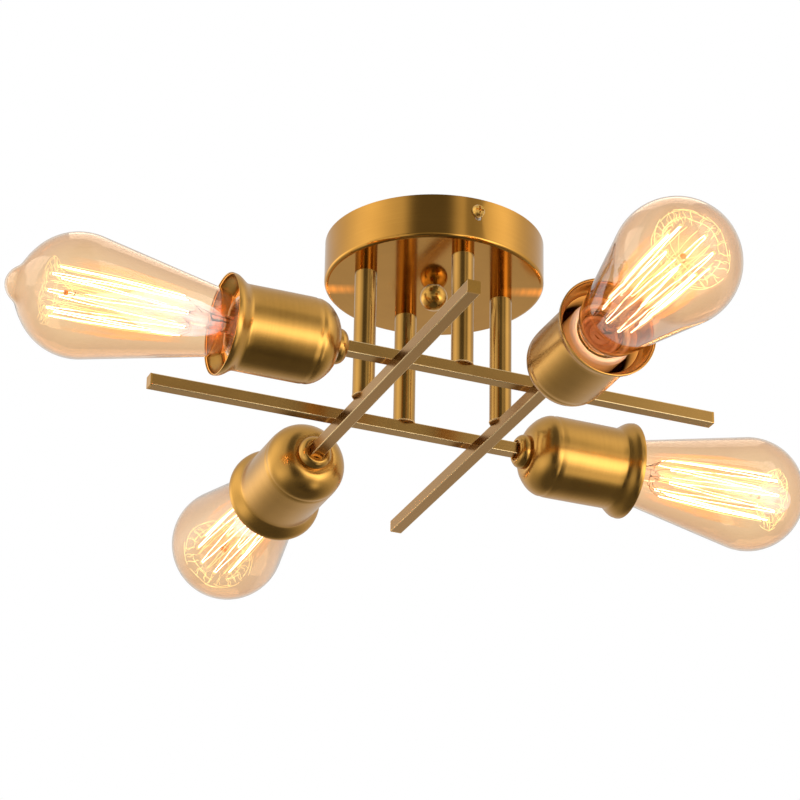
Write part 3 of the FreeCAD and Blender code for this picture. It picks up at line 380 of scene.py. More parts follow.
# Pinkish colour painted as glow in the bulb's neck.
NECK_GLOW_PAINT = smooth_coat("painted_neck_glow", (0.43, 0.27, 0.23), (0.3, 0.17, 0.14), 0.4, 0.3)
EYELET = smooth_coat("rod_eyelet", (0.85, 0.32, 0.06), (0.6, 0.2, 0.04), 0.3)
SUPPORT = plain_metal("support_wire", (0.8, 0.55, 0.3), (0.5, 0.33, 0.2), 0.3)
LEAD = plain_metal("lead_wire", (0.3, 0.24, 0.2), (0.16, 0.12, 0.1), 0.35)
CONTACT = smooth_coat("contact_black", (0.1, 0.08, 0.1), (0.04, 0.03, 0.04), 0.12, 0.5)
BLACK = smooth_coat("black_sleeve", (0.035, 0.035, 0.035), (0.02, 0.02, 0.02), 0.4)
WHITE = smooth_coat("white_sleeve", (0.84, 0.84, 0.81), (0.74, 0.74, 0.7), 0.4)
ORANGE = smooth_coat("connector_shell", (0.85, 0.3, 0.05), (0.72, 0.24, 0.04), 0.35)

# Glow: its colours, stretch along the bulb in metres, cover between and in its streaks, strength.
AMBER_GLOW = ((1.0, 0.58, 0.2), (1.0, 0.84, 0.56))
HAZE_GLOW = ((0.9, 0.42, 0.1), (0.95, 0.55, 0.2))
BLUE_GLOW = ((0.42, 0.71, 1.0), (0.5, 0.78, 1.0))
PALE_GLOW = ((0.7, 0.8, 1.0), (0.76, 0.86, 1.0))
WHITE_GLOW = ((0.9, 0.92, 1.0), (0.96, 0.98, 1.0))
GOLD_GLOW = ((1.0, 0.8, 0.3), (1.0, 0.9, 0.6))
HALO = halo("filament_halo", *AMBER_GLOW, (0.148, 0.229), (0.0, 0.42), 1.25)
HAZE = halo("filament_haze", *HAZE_GLOW, (0.15, 0.22), (0.05, 0.34), 1.05)
CORE = halo("filament_core", *BLUE_GLOW, (0.132, 0.2), (0.4, 0.84), 1.5)
CORE_FAR = halo("filament_core_far", *PALE_GLOW, (0.212, 0.246), (0.14, 0.36), 1.5)
CORE_WHITE = halo("filament_core_white", *WHITE_GLOW, (0.156, 0.212), (0.0, 0.72), 1.7)
CORE_LONG = halo("filament_core_long", *WHITE_GLOW, (0.165, 0.236), (0.0, 0.6), 1.6)
CORE_THIN = halo("filament_core_thin", *GOLD_GLOW, (0.205, 0.24), (0.05, 0.2), 1.3)


# ---------------------------------------------------------------- shapes

# A radius or an edge under this counts as none.
NONE = 1e-6
# A corner that turns less than this, in radians, stays as it is.
STRAIGHT = 0.12
# Most of an edge that a softened corner takes.
CORNER_SHARE = 0.4


def arm_matrix(arm):
    """Local +Z runs outward along the arm from its stem, local +X is up."""
    low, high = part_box("bar_" + arm)
    stem_low, stem_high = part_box("stem_" + arm)
    middle = (stem_low + stem_high) / 2
    outward = OUTWARD[arm]
    side = outward.cross(UP)
    turn = Matrix((UP, side, outward)).transposed().to_4x4()
    return Matrix.Translation((middle.x, middle.y, (low.z + high.z) / 2)) @ turn


def new_object(name, data):
    made = bpy.data.objects.new(name, data)
    bpy.context.scene.collection.objects.link(made)
    return made


def add_mesh(name, points, faces, material, slot, body, matrix, sharp=32.0):
    """A mesh piece from points in millimetres, placed by matrix, that rides on body."""
    mesh = bpy.data.meshes.new(name)
    mesh.from_pydata([Vector(point) * MM for point in points], [], faces)
    mesh.update()
    mesh.shade_smooth()
    mesh.set_sharp_from_angle(angle=math.radians(sharp))
    mesh.materials.append(material)
    piece = new_object(name, mesh)
    piece.matrix_world = matrix
    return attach(piece, body)


def lathe_mesh(profile, steps, closed):
    """Points and faces of a profile of (along, radius) turned about local Z."""
    points = []
    rings = []
    for along, radius in profile:
        if radius < NONE:
            rings.append([len(points)])
            points.append((0.0, 0.0, along))
            continue
        rings.append(list(range(len(points), len(points) + steps)))
        for step in range(steps):
            points.append(ring_point(radius, 2 * math.pi * step / steps, along))
    faces = []
    pairs = list(zip(rings, rings[1:]))
    if closed:
        pairs.append((rings[-1], rings[0]))
    for first, second in pairs:
        for step in range(steps):
            after = (step + 1) % steps
            if len(first) == 1 and len(second) == 1:
                break
            if len(first) == 1:
                faces.append((first[0], second[after], second[step]))
            elif len(second) == 1:
                faces.append((first[step], first[after], second[0]))
            else:
                faces.append((first[step], first[after], second[after], second[step]))
    return points, faces


def softened(profile, reach, steps=4):
    """The profile with each corner rounded, starting at most reach before it."""
    result = []
    count = len(profile)
    for number in range(count):
        before, corner, after = profile[number - 1], profile[number], profile[(number + 1) % count]
        if corner[1] < NONE:
            result.append(corner)
            continue
        corner = Vector(corner)
        back = Vector(before) - corner
        ahead = Vector(after) - corner
        short = back.length < NONE or ahead.length < NONE
        if short or abs(back.angle(ahead) - math.pi) < STRAIGHT:
            result.append(tuple(corner))
            continue
        start = corner + back.normalized() * min(reach, back.length * CORNER_SHARE)
        end = corner + ahead.normalized() * min(reach, ahead.length * CORNER_SHARE)
        for step in range(steps + 1):
            t = step / steps
            point = start * (1 - t) ** 2 + corner * 2 * t * (1 - t) + end * t**2
            result.append((point.x, point.y))
    return result


def add_lathe(name, profile, material, slot, body, matrix, reach, steps=112, closed=True):
    profile = softened(profile, reach) if reach else profile
    points, faces = lathe_mesh(profile, steps, closed)
    return add_mesh(name, points, faces, material, slot, body, matrix)


def add_wire(name, runs, radius, material, slot, body, matrix, smooth=False):
    """Round wire along each run of points, as one curve piece."""
    curve = bpy.data.curves.new(name, "CURVE")
    curve.dimensions = "3D"
    curve.bevel_depth = radius * MM
    curve.bevel_resolution = 2
    curve.use_fill_caps = True
    curve.resolution_u = 6
    for run in runs:
        spline = curve.splines.new("NURBS" if smooth else "POLY")
        spline.points.add(len(run) - 1)
        for number, point in enumerate(run):
            spline.points[number].co = (*(Vector(point) * MM), 1.0)
        if smooth:
            spline.order_u = 3
            spline.use_endpoint_u = True
    curve.materials.append(material)
    piece = new_object(name, curve)
    piece.matrix_world = matrix
    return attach(piece, body)


def ring_point(radius, angle, along):
    return (radius * math.cos(angle), radius * math.sin(angle), along)


# ---------------------------------------------------------------- cups and collars


def cup_outside():
    """From the cup's back over the dome, a faint crease, the body and the flared rim."""
    points = [(73.0, 10.4), (73.2, 11.9), (73.9, 13.7), (75.2, 15.9), (77.0, 18.0)]
    points += [(78.9, 19.8), (80.9, 21.2), (82.8, 22.1), (84.4, 22.6), (85.5, 22.72)]
    points += [(86.3, 22.66), (87.1, 22.72), (87.9, 22.94), (90.0, 23.0), (108.0, 22.98)]
    points.append((122.0, 22.9))
    for step in range(11):
        share = step / 10
        swell = share * share * (3 - 2 * share)
        points.append((125.0 + 8.4 * share, 22.9 + 4.15 * swell))
    return points + [(134.3, 27.2), (134.85, 27.1), (CUP_RIM, 26.75)]


def cup_profile():
    outside = cup_outside()
    start = CUP_BACK + CUP_WALL
    inside = [(max(along + 0.55, start), radius - CUP_WALL) for along, radius in outside[:-3]]
    inside += [(134.3, 26.35), (134.8, 26.45)]
    return [(CUP_BACK, CUP_HOLE)] + outside + inside[::-1] + [(start, CUP_HOLE)]


def cup_lining():
    """Thin skin inside the cup's mouth, just off its wall, that carries the painted lamp glow."""
    off = CUP_WALL + GLOW_SKIN_GAP
    inner = [(along, radius - off) for along, radius in cup_outside() if 108.0 <= along <= 133.5]
    mouth = [(134.3, 26.3), (134.5, 26.5), (134.2, 26.5)]
    return inner + mouth + [(along, radius + GLOW_SKIN_WALL) for along, radius in inner[::-1]]


# From the collar's start: how far along, and the radius.
COLLAR = [(0.0, 5.7), (0.0, 6.8), (0.5, 7.6), (1.3, 8.5), (2.4, 9.2), (3.8, 9.6), (5.0, 9.55)]
COLLAR += [(6.0, 9.5), (6.0, 3.7), (1.5, 3.7), (1.5, 5.7)]


def dress_cup(arm, matrix):
    look = (BRASS_TURNED, "brushed_brass", "fixture", matrix)
    cup = add_lathe("cup_shell_" + arm, cup_profile(), *look, 0.0, 128)
    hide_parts("cup_" + arm)
    # Painted lamp glow: an emissive skin inside the cup's mouth.
    look = (BRASS_PAINTED_GLOW, "brushed_brass", "fixture", matrix)
    add_lathe("cup_inside_" + arm, cup_lining(), *look, 0.0, 128)
    collar = [(COLLAR_START + along, radius) for along, radius in COLLAR]
    look = (BRASS_TURNED, "brushed_brass", "fixture", matrix)
    ring = add_lathe("collar_ring_" + arm, collar, *look, 0.35)
    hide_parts("collar_" + arm)


# From the lampholder's front: how far along, and the radius.
LIP = [(-0.2, 14.1), (0.9, 14.4), (1.1, 15.4), (0.5, 16.6), (-0.9, 17.45), (-2.2, 17.7)]
LIP.append((-2.4, 17.2))


def dress_lampholder(arm, matrix):
    """Glazed ring at the lampholder's mouth, over the plain ceramic body."""
    lip = [(HOLDER_FRONT + along, radius) for along, radius in LIP]
    add_lathe("lampholder_rim_" + arm, lip, CERAMIC, "white_ceramic", "fixture", matrix, 0.5)


# ---------------------------------------------------------------- stems and bars


FILLET_PLACE = 5.72
FILLET_RADIUS = 0.5


def dress_welds(arm):
    """Uneven fillet of weld round the stem's foot, where it stands on the bar."""
    low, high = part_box("stem_" + arm)
    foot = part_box("bar_" + arm)[1].z / MM
    run = []
    for step in range(49):
        angle = 2 * math.pi * step / 48
        radius = FILLET_PLACE + 0.1 * math.sin(angle * 7)
        run.append(ring_point(radius, angle, foot - 0.05 + 0.08 * math.sin(angle * 5)))
    middle = Matrix.Translation(((low.x + high.x) / 2, (low.y + high.y) / 2, 0))
    look = (BRASS_WELD, "brushed_brass", "fixture", middle)
    add_wire("weld_fillet_" + arm, [run], FILLET_RADIUS, *look, True)


# ---------------------------------------------------------------- bulbs


def glass_outside(pip):
    """From the skirt in the cap, over the neck and the cone, round the ball to the far end."""
    angle = math.radians(CONE_DEGREES)
    touch_radius = BALL_RADIUS * math.cos(angle)
    touch_along = BALL_MIDDLE - BALL_RADIUS * math.sin(angle)
    slope = math.tan(angle)

    def cone(along):
        return touch_radius - slope * (touch_along - along)

    points = [(122.0, 12.4), (NECK_END, NECK_RADIUS)]
    for step in range(1, 7):
        share = step / 6
        swell = math.sin(share * math.pi / 2) * (0.82 + 0.18 * share)
        radius = NECK_RADIUS + (cone(CONE_START) - NECK_RADIUS) * swell
        points.append((NECK_END + (CONE_START - NECK_END) * share, radius))
    for step in range(1, 9):
        along = CONE_START + (touch_along - CONE_START) * step / 9
        points.append((along, cone(along)))
    steps = 26
    last = 52.0 if pip else 90.0
    for step in range(steps + 1):
        turn = math.radians(-CONE_DEGREES + (last + CONE_DEGREES) * step / steps)
        points.append((BALL_MIDDLE + BALL_RADIUS * math.sin(turn), BALL_RADIUS * math.cos(turn)))
    if pip:
        points += [(239.6, 17.2), (241.5, 14.1), (242.8, 11.8), (243.9, 10.2), (245.2, 9.1)]
        points += [(246.6, 8.1), (247.9, 6.9), (249.1, 5.3), (250.0, 3.7), (250.6, 1.9)]
        points.append((250.8, 0.0))
    else:
        points[-1] = (BALL_MIDDLE + BALL_RADIUS, 0.0)
    return points


def glass_inside(outside):
    """The outside moved in by the wall, square to it at each point."""
    inside = []
    for number, point in enumerate(outside):
        before = Vector(outside[max(number - 1, 0)])
        beyond = number + 1 == len(outside)
        after = Vector((before.x, -before.y)) if beyond else Vector(outside[number + 1])
        run = (after - before).normalized()
        along, radius = point[0] + run.y * GLASS_WALL, point[1] - run.x * GLASS_WALL
        inside.append((along, max(radius, 0.0)))
    inside[0] = (outside[0][0], outside[0][1] - GLASS_WALL)
    inside[-1] = (outside[-1][0] - GLASS_WALL, 0.0)
    return inside


def dress_glass(arm, matrix):
    outside = glass_outside(arm == "a1")
    profile = outside + glass_inside(outside)[::-1]
    look = (AMBER, "amber_glass", "bulb_" + arm, matrix)
    glass = add_lathe("bulb_glass_" + arm, profile, *look, 0.0, 128)
    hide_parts("bulb_" + arm + "_glass")


def dress_cap(arm, matrix):
    """Rolled screw thread on the bulb's cap."""
    steps = 72
    rows = 100
    low, high = CAP_START + 2.8, CAP_END - 0.2
    angles = [2 * math.pi * step / steps for step in range(steps)]
    points = [ring_point(10.6, angle, CAP_START) for angle in angles]
    for row in range(rows + 1):
        along = low + (high - low) * row / rows
        fade_out = (high - CAP_PLAIN_RIM - along) / THREAD_FADE_OUT
        fade = max(0.0, min(1.0, (along - low) / THREAD_FADE_IN, fade_out))
        for angle in angles:
            wave = 0.5 + 0.5 * math.sin(2 * math.pi * (along / THREAD_PITCH) - angle)
            points.append(ring_point(CAP_RADIUS - THREAD_DEPTH * fade * wave, angle, along))
    points += [ring_point(12.62, angle, high) for angle in angles]
    points += [ring_point(10.3, angle, CAP_START + 0.3) for angle in angles]
    count = len(points) // steps
    faces = []
    for row in range(count):
        near, far = row * steps, (row + 1) % count * steps
        for step in range(steps):
            after = (step + 1) % steps
            faces.append((near + step, near + after, far + after, far + step))
    look = (CAP, "bulb_cap_metal", "bulb_" + arm, matrix)
    cap = add_mesh("bulb_cap_" + arm, points, faces, *look, 50.0)
    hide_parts("bulb_" + arm + "_cap")


# Glass foot, press, rod and the disc on its end.
MOUNT = [(122.3, 0.0), (122.3, 11.0), (123.4, 11.1), (125.5, 8.0), (129.0, 4.9), (134.0, 4.1)]
MOUNT += [(150.0, 3.9), (153.0, 3.4), (155.5, 1.5), (170.0, 1.25), (214.0, 1.25), (215.4, 2.7)]
MOUNT += [(217.0, 2.9), (218.0, 1.6), (218.3, 0.0)]
# Uneven skirt over the foot, inside the glass's neck, coloured as painted glow in the neck.
GLOW_SKIRT = [(123.6, 1.0), (123.6, 11.3), (124.1, 11.6), (124.5, 11.2), (124.2, 8.6), (124.9, 8.0)]
GLOW_SKIRT += [(124.4, 7.4), (124.4, 5.4), (125.1, 5.0), (124.5, 4.4), (124.5, 1.0)]


def dress_mount(arm, matrix):
    body = "bulb_" + arm
    add_lathe("bulb_skirt_" + arm, GLOW_SKIRT, NECK_GLOW_PAINT, "clear_glass", body, matrix, 0.2, 64)
    mount = add_lathe("bulb_foot_" + arm, MOUNT, CLEAR, "clear_glass", body, matrix, 0.7, 48, False)
    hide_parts("bulb_" + arm + "_mount")


# Middle along the bulb, reach across and along, and material of the glow's shells.
CORES = {
    "a1": ((163.0, 10.6, 30.0, CORE), (182.0, 5.6, 24.0, CORE_WHITE)),
    "a2": ((227.0, 9.0, 12.0, CORE_FAR), (200.0, 6.6, 31.0, CORE_LONG)),
    "b1": ((163.0, 9.6, 28.0, CORE), (178.0, 4.6, 20.0, CORE_WHITE)),
    "b2": ((221.0, 9.0, 11.0, CORE_THIN), (222.0, 5.5, 7.0, CORE_THIN)),
}
# Where the low hooks stand along each bulb.
LOWS = {"a1": 157.0, "a2": 158.0, "b1": 151.0, "b2": 151.0}
# Radius of the painted glints round the far crown, which stand in for the filament's reflection in
# the glass's far end.
GLINT_REACH = {"a1": 17.4, "a2": 17.4, "b1": 20.6, "b2": 20.6}
# Radius of each kind of wire.
STRAND = 0.15
FINE = 0.13
PROP = 0.17
CURLED = 0.055
FANNED = 0.045
LED_IN = 0.24


def hook_ends(number, lows):
    """Where the filament turns over one hook; even hooks are low, odd ones high."""
    radius, along = (LOW_CROWN, lows) if number % 2 == 0 else (HIGH_CROWN, HIGH_HOOKS)
    half = 0.62 / radius
    return [ring_point(radius, HOOK_STEP * number + side * half, along) for side in (-1, 1)]


def out_and_round(spot):
    """Directions away from the bulb's axis and round it at this spot."""
    out = Vector((spot.x, spot.y, 0)).normalized()
    return out, Vector((-out.y, out.x, 0))


def filament_path(lows):
    """Strands with a slight bow and shake, joined by small turns over the hooks."""
    path = []
    for number in range(STRANDS):
        first = Vector(hook_ends(number, lows)[1])
        last = Vector(hook_ends(number + 1, lows)[0])
        for step in range(13):
            share = step / 12
            spot = first.lerp(last, share)
            out, side = out_and_round(spot)
            bow = 0.5 * math.sin(math.pi * share)
            shake = 0.13 * math.sin(share * 19 + number * 2.1)
            path.append(tuple(spot + out * bow + side * shake))
    return [hook_ends(0, lows)[0]] + path + [hook_ends(STRANDS, lows)[1]]


def fine_threads(lows):
    """Thinner glowing threads between the strands, each with its own small shake."""
    runs = []
    for number in range(STRANDS):
        low = HOOK_STEP * (number + 0.5)
        high = low + HOOK_STEP * (0.45 if number % 2 else -0.45)
        start = Vector(ring_point(11.3, low, lows + 3.0))
        end = Vector(ring_point(13.8, high, HIGH_HOOKS - 1.5 + 1.2 * math.sin(number * 2.7)))
        run = []
        for step in range(11):
            share = step / 10
            spot = start.lerp(end, share)
            out, side = out_and_round(spot)
            bow = out * 0.9 * math.sin(math.pi * share)
            shake = side * 0.22 * math.sin(share * 23 + number * 1.7)
            run.append(tuple(spot + (bow + shake)))
        runs.append(run)
    return runs


def high_hook(number):
    """Support wire from the disc on the rod out to a high hook, ending in a small curl."""
    angle = HOOK_STEP * number
    run = [ring_point(2.2, angle, 215.8), ring_point(7.0, angle + 0.06, 219.0)]
    run.append(ring_point(11.2, angle, 223.4))
    x, y, along = ring_point(13.1, angle, HIGH_HOOKS + 0.3)
    for step in range(12):
        turn = 2 * math.pi * step / 7 + number
        run.append((x + 0.9 * math.cos(turn), y + 0.9 * math.sin(turn), along + 0.2 * step - 0.6))
    return run


def low_hook(number, lows):
    """Support wire from the press out to a low hook."""
    angle = HOOK_STEP * number
    return [
        ring_point(3.4, angle, 151.5),
        ring_point(6.8, angle, 150.0),
        ring_point(10.7, angle, lows - 0.5),
        ring_point(11.4, angle, lows + 0.4),
        ring_point(10.8, angle, lows + 1.2),
    ]


def far_curls(reach):
    """Fine broken rings of painted glint round the far crown, one inside the other, drawn as
    glowing wire.
    """
    runs = []
    for number in range(18):
        radius = (reach if number % 2 else reach - 4.6) + 0.7 * math.sin(number * 1.9)
        start = 2.4 * number
        sweep = 0.9 + 0.4 * math.sin(number * 2.6)
        run = []
        for step in range(17):
            share = step / 16
            drift = 1.2 * (share - 0.5) * math.sin(number * 1.3)
            out = radius + drift + 0.16 * math.sin(share * 9 + number)
            along = 227.6 + 0.8 * math.sin(share * 5 + number * 1.9)
            run.append(ring_point(out, start + sweep * share, along))
        runs.append(run)
    return runs


def far_rays(reach):
    """Short painted glints that fan out between the rings, drawn as glowing wire."""
    count = 44
    runs = []
    for number in range(count):
        angle = 2 * math.pi * number / count + 0.07 * math.sin(number * 3.1)
        low = reach - 6.0 + 1.3 * math.sin(number * 2.3)
        high = reach - 0.6 + 1.0 * math.sin(number * 1.7)
        lean = 0.1 * math.sin(number * 0.9)
        run = []
        for step in range(6):
            share = step / 5
            swing = lean * share + 0.03 * math.sin(share * 9 + number * 1.3)
            run.append(ring_point(low + (high - low) * share, angle + swing, 226.6 + 1.6 * share))
        runs.append(run)
    return runs


def filament_leads(lows):
    """Dark wires from the press to the filament's two ends, crossing on their way."""
    leads = []
    for number, side in ((0, 1), (STRANDS, -1)):
        tip = hook_ends(number, lows)[0 if number == 0 else 1]
        start = [(1.5, -1.6 * side, 130.0), (2.2, -3.4 * side, 140.0)]
        leads.append(start + [(tip[0] * 0.8, tip[1] * 0.8, lows - 4.0), tip])
    return leads


def dress_filament(arm, matrix):
    """Filament drawn up and down between two crowns of hooks, with its leads, hooks and glow."""
    lows = LOWS[arm]
    ride = ("filament", "bulb_" + arm, matrix)
    wire = add_wire("filament_wire_" + arm, [filament_path(lows)], STRAND, HOT, *ride)
    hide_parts("bulb_" + arm + "_filament")
    threads = add_wire("filament_threads_" + arm, fine_threads(lows), FINE, THREAD, *ride)
    sleeve = [(147.0, 7.4), (186.0, 8.8), (228.0, 10.0)]
    add_lathe("filament_glow_" + arm, sleeve, HALO, *ride, 0.0, 48, False)
    sleeve = [(150.0, 13.2), (170.0, 15.6), (190.0, 18.4), (225.0, 19.4)]
    add_lathe("filament_haze_" + arm, sleeve, HAZE, *ride, 0.0, 48, False)
    turns = [math.pi * step / 12 for step in range(13)]
    for number, (middle, wide, half, material) in enumerate(CORES[arm]):
        egg = [(middle - half * math.cos(turn), wide * math.sin(turn)) for turn in turns]
        egg[0], egg[-1] = (middle - half, 0.0), (middle + half, 0.0)
        add_lathe(f"filament_core_{arm}_{number}", egg, material, *ride, 0.0, 40, False)
    high = [high_hook(number) for number in range(1, STRANDS, 2)]
    # Painted glow: the high hooks' support wire is drawn with emission.
    hooks = add_wire("filament_hooks_" + arm, high, FINE, DIM_GLOW, *ride, True)
    low = [low_hook(number, lows) for number in range(2, STRANDS, 2)]
    add_wire("filament_supports_" + arm, low, PROP, SUPPORT, *ride, True)
    # Painted glints at the far crown: glowing wire that stands in for the filament's reflection in
    # the glass.
    glint_glow = DIM_GLOW if arm == "a1" else BRIGHT_GLINT
    reach = GLINT_REACH[arm]
    glint_ring_wires = add_wire("filament_curls_" + arm, far_curls(reach), CURLED, glint_glow, *ride, True)
    glint_ray_wires = add_wire("filament_rays_" + arm, far_rays(reach), FANNED, glint_glow, *ride, True)
    for lit in (wire, threads, hooks, glint_ring_wires, glint_ray_wires):
        lit.visible_glossy = False
    bead = [(217.6, 0.0), (217.8, 1.1), (218.6, 1.7), (219.6, 1.4), (220.1, 0.0)]
    add_lathe("filament_eyelet_" + arm, bead, EYELET, *ride, 0.3, 32, False)
    add_wire("filament_leads_" + arm, filament_leads(lows), LED_IN, LEAD, *ride)


# ---------------------------------------------------------------- everything


def finish_cad_nodes():
    """Give every node that stays its own detailed material."""
    looks = {
        "mounting_bracket": ZINC,
        "canopy": BRASS_PLATE,
        "canopy_screws": BRASS_SCREW,
        "ground_screw": GREEN,
        "finial_ball": BRASS_BRIGHT,
        "finial_stud": ZINC,
        "finial_nut": ZINC,
        "stem_nipples": ZINC,
        "stem_washers": ZINC,
        "stem_nuts": ZINC,
        "bar_end_plugs": BRASS_BRIGHT,
        "bar_nipples": ZINC,
        "holder_nuts": ZINC,
        "screw_shells": SHELL,
        "centre_contacts": BRASS_BRIGHT,
        "line_wires": BLACK,
        "neutral_wires": WHITE,
        "wire_connectors": ORANGE,
    }
    for arm in ARMS:
        looks["stem_" + arm] = BRASS_Z
        looks["bar_" + arm] = BRASS_X if arm[0] == "a" else BRASS_Y
        looks["collar_" + arm] = BRASS_TURNED
        looks["cup_" + arm] = BRASS_TURNED
        looks["lampholder_" + arm] = CERAMIC
        looks["bulb_" + arm + "_glass"] = AMBER
        looks["bulb_" + arm + "_cap"] = CAP
        looks["bulb_" + arm + "_contact"] = CONTACT
        looks["bulb_" + arm + "_mount"] = CLEAR
        looks["bulb_" + arm + "_filament"] = HOT
    for name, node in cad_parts.items():
        node.data.materials.clear()
        node.data.materials.append(looks[name])
    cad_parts["canopy"].visible_glossy = False


# ---------------------------------------------------------------- stage

# The photograph's viewpoint, solved from the canopy's circles, the bars' edges and the bulbs.
CAMERA_AZIMUTH = -22.128
CAMERA_ELEVATION = -25.452
CAMERA_ROLL = 0.984
CAMERA_DISTANCE = 1858.143
CAMERA_AIM = Vector((0, 0, -60))
CAMERA_SHIFT = (-17.954, -29.954)
FOCAL_PIXELS = 3425.6
IMAGE_PIXELS = 800
SENSOR = 36
# The light's middle, which the lamps and the tent are set round, and the floor's height.
MIDDLE = (0, 0, -0.06)
FLOOR = -1.6
WARM_WHITE = (1.0, 0.98, 0.95)
TENT_REACH = 1.45


def add_camera():
    azimuth = math.radians(CAMERA_AZIMUTH)
    elevation = math.radians(CAMERA_ELEVATION)
    roll = math.radians(CAMERA_ROLL)
    flat = math.cos(elevation)
    back = Vector((math.sin(azimuth) * flat, -math.cos(azimuth) * flat, math.sin(elevation)))
    right = (-back).cross(UP).normalized()
    above = right.cross(-back)
    across = right * math.cos(roll) + above * math.sin(roll)
    upward = -right * math.sin(roll) + above * math.cos(roll)
    target = CAMERA_AIM + across * CAMERA_SHIFT[0] + upward * CAMERA_SHIFT[1]
    data = bpy.data.cameras.new("camera")
    data.lens = FOCAL_PIXELS / IMAGE_PIXELS * SENSOR
    data.sensor_width = SENSOR
    data.clip_end = 100
    camera = new_object("camera", data)
    turn = Matrix((across, upward, back)).transposed().to_4x4()
    camera.matrix_world = Matrix.Translation((target + back * CAMERA_DISTANCE) * MM) @ turn
    bpy.context.scene.camera = camera


def around(azimuth, elevation, distance):
    """Point seen from the light's middle at this azimuth, counted to the camera's right."""
    turn = math.radians(CAMERA_AZIMUTH + azimuth)
    rise = math.radians(elevation)
    flat = distance * math.cos(rise)
    return (math.sin(turn) * flat, -math.cos(turn) * flat, distance * math.sin(rise) + MIDDLE[2])


def add_lamp(name, place, wide, tall, power, colour=(1.0, 1.0, 1.0)):
    """Soft light that faces the light's middle and no reflection shows."""
    data = bpy.data.lights.new(name, "AREA")
    data.shape = "RECTANGLE"
    data.size = wide
    data.size_y = tall
    data.energy = power
    data.color = colour
    lamp = new_object(name, data)
    lamp.location = place
    lamp.rotation_euler = (Vector(MIDDLE) - Vector(place)).to_track_quat("-Z", "Y").to_euler()
    lamp.visible_glossy = False


def add_bulb_lamp(arm, matrix):
    """Warm light that the filament throws on the cup."""
    data = bpy.data.lights.new("bulb_light_" + arm, "POINT")
    data.energy = 0.12
    data.color = (1.0, 0.45, 0.12)
    data.shadow_soft_size = 0.012
    lamp = new_object("bulb_light_" + arm, data)
    lamp.location = matrix @ Vector((0, 0, 0.165))
    lamp.visible_camera = False
    lamp.visible_glossy = False
    lamp.visible_transmission = False


def add_world():
    """White behind everything, and a softer level for the light it gives."""
    world = bpy.data.worlds.new("studio")
    bpy.context.scene.world = world
    world.use_nodes = True
    tree = world.node_tree
    tree.nodes.clear()
    path = tree.nodes.new("ShaderNodeLightPath")
    white = tree.nodes.new("ShaderNodeBackground")
    white.inputs["Color"].default_value = (1, 1, 1, 1)
    soft = tree.nodes.new("ShaderNodeBackground")
    soft.inputs["Color"].default_value = (0.95, 0.96, 1.0, 1)
    soft.inputs["Strength"].default_value = 0.45
    mix = tree.nodes.new("ShaderNodeMixShader")
    output = tree.nodes.new("ShaderNodeOutputWorld")
    seen = path.outputs["Is Camera Ray"]
    for ray in ("Is Transmission Ray", "Is Glossy Ray"):
        either = tree.nodes.new("ShaderNodeMath")
        either.operation = "MAXIMUM"
        tree.links.new(seen, either.inputs[0])
        tree.links.new(path.outputs[ray], either.inputs[1])
        seen = either.outputs[0]
    tree.links.new(seen, mix.inputs[0])
    tree.links.new(soft.outputs[0], mix.inputs[1])
    tree.links.new(white.outputs[0], mix.inputs[2])
    tree.links.new(mix.outputs[0], output.inputs["Surface"])


# Soft walls and dark gaps of the light tent: azimuth from the camera's to its right, elevation,
# reach across, reach up, level. All are degrees but the level.
WALLS = [
    (-72, 25, 26, 30, 0.7),
    (-60, -28, 30, 15, 0.8),
    (60, -26, 10, 13, 1.2),
    (74, 27, 22, 28, 0.75),
    (45, -16, 34, 15, 2.5),
    (70, -51, 15, 9, 1.2),
    (-112, 5, 24, 15, 1.3),
    (180, -25, 22, 13, 0.12),
]
GAPS = [
    (-4, 35, 25, 42, 0.8),
    (42, 26, 11, 12, 0.5),
    (-137, -29, 13, 11, 0.15),
    (45, -68, 60, 11, 0.5),
    (-2, -27, 22, 18, 0.9),
]


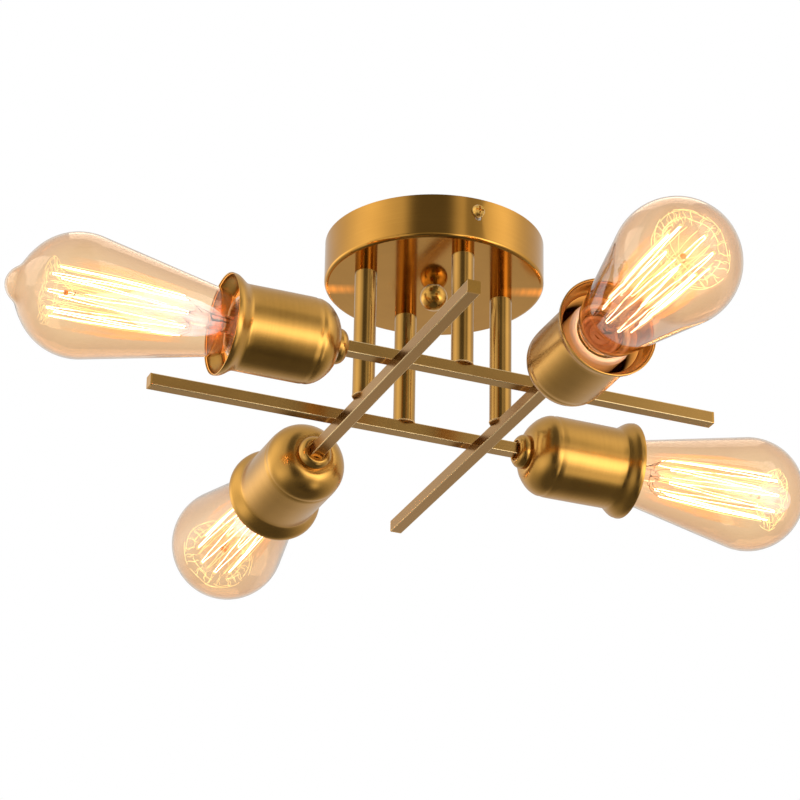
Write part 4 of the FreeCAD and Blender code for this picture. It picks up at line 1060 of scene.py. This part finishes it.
def tent_material():
    """Soft light and dark bands for brass to reflect."""
    s = Shader("light_tent")
    x, y, z = s.axes()
    azimuth = s.math("DEGREES", s.math("ARCTAN2", x, s.math("MULTIPLY", y, -1.0)))
    elevation = s.math("DEGREES", s.math("ARCSINE", s.math("DIVIDE", z, TENT_REACH)))

    def spot(wall, power):
        turn = s.math("SUBTRACT", azimuth, wall[0] + CAMERA_AZIMUTH)
        turn = s.math("WRAP", turn, 180.0, -180.0)
        rise = s.math("SUBTRACT", elevation, wall[1])
        shares = [s.math("DIVIDE", turn, wall[2]), s.math("DIVIDE", rise, wall[3])]
        falls = [s.math("POWER", s.math("ABSOLUTE", share), power) for share in shares]
        return s.math("EXPONENT", s.math("MULTIPLY", s.math("ADD", *falls), -1.0))

    level = s.ramp(elevation, -55.0, -8.0, 0.12, 0.7)
    for wall in WALLS:
        level = s.math("MULTIPLY_ADD", spot(wall, 2.0), wall[4], level)
    for gap in GAPS:
        level = s.math("MULTIPLY", level, s.math("MULTIPLY_ADD", spot(gap, 6.0), -gap[4], 1.0))
    s.set(Base_Color=(0.0, 0.0, 0.0, 1.0), Roughness=1.0)
    s.set(Emission_Color=(*WARM_WHITE, 1.0), Emission_Strength=level)
    s.surface.inputs["Specular IOR Level"].default_value = 0.0
    s.material.cycles.emission_sampling = "NONE"
    return s.material


def add_tent():
    """Studio light tent that only reflections see."""
    turns = [math.radians(5 * row - 90) for row in range(37)]
    rows = [(TENT_REACH * math.sin(turn), TENT_REACH * math.cos(turn)) for turn in turns]
    rows[0], rows[-1] = (-TENT_REACH, 0.0), (TENT_REACH, 0.0)
    points, faces = lathe_mesh(rows, 72, False)
    mesh = bpy.data.meshes.new("light_tent")
    mesh.from_pydata(points, [], faces)
    mesh.materials.append(tent_material())
    tent = new_object("light_tent", mesh)
    tent.location = MIDDLE
    tent.visible_camera = False
    tent.visible_diffuse = False
    tent.visible_transmission = False
    tent.visible_shadow = False


def add_floor():
    s = Shader("pale_floor")
    patch = s.noise(s.place(), 3.0, 2.0, 0.5)
    s.set(Base_Color=s.between(patch, (0.86, 0.86, 0.85), (0.9, 0.9, 0.89)), Roughness=0.7)
    mesh = bpy.data.meshes.new("floor")
    mesh.from_pydata([(-4, -4, 0), (4, -4, 0), (4, 4, 0), (-4, 4, 0)], [], [(0, 1, 2, 3)])
    mesh.materials.append(s.material)
    floor = new_object("floor", mesh)
    floor.location = (0, 0, FLOOR)


finish_cad_nodes()
for arm in ARMS:
    place = arm_matrix(arm)
    dress_cup(arm, place)
    dress_lampholder(arm, place)
    dress_welds(arm)
    dress_glass(arm, place)
    dress_cap(arm, place)
    dress_mount(arm, place)
    dress_filament(arm, place)
    add_bulb_lamp(arm, place)
add_camera()
add_world()
add_floor()
add_lamp("left_light", around(-85, 25, 2.2), 1.3, 1.6, 20, WARM_WHITE)
add_lamp("right_light", around(50, 25, 2.2), 1.0, 1.6, 18, WARM_WHITE)
add_lamp("top_light", (0.3, 0.6, 1.7), 1.2, 1.2, 8)
add_tent()
bpy.context.scene.view_settings.view_transform = "Standard"
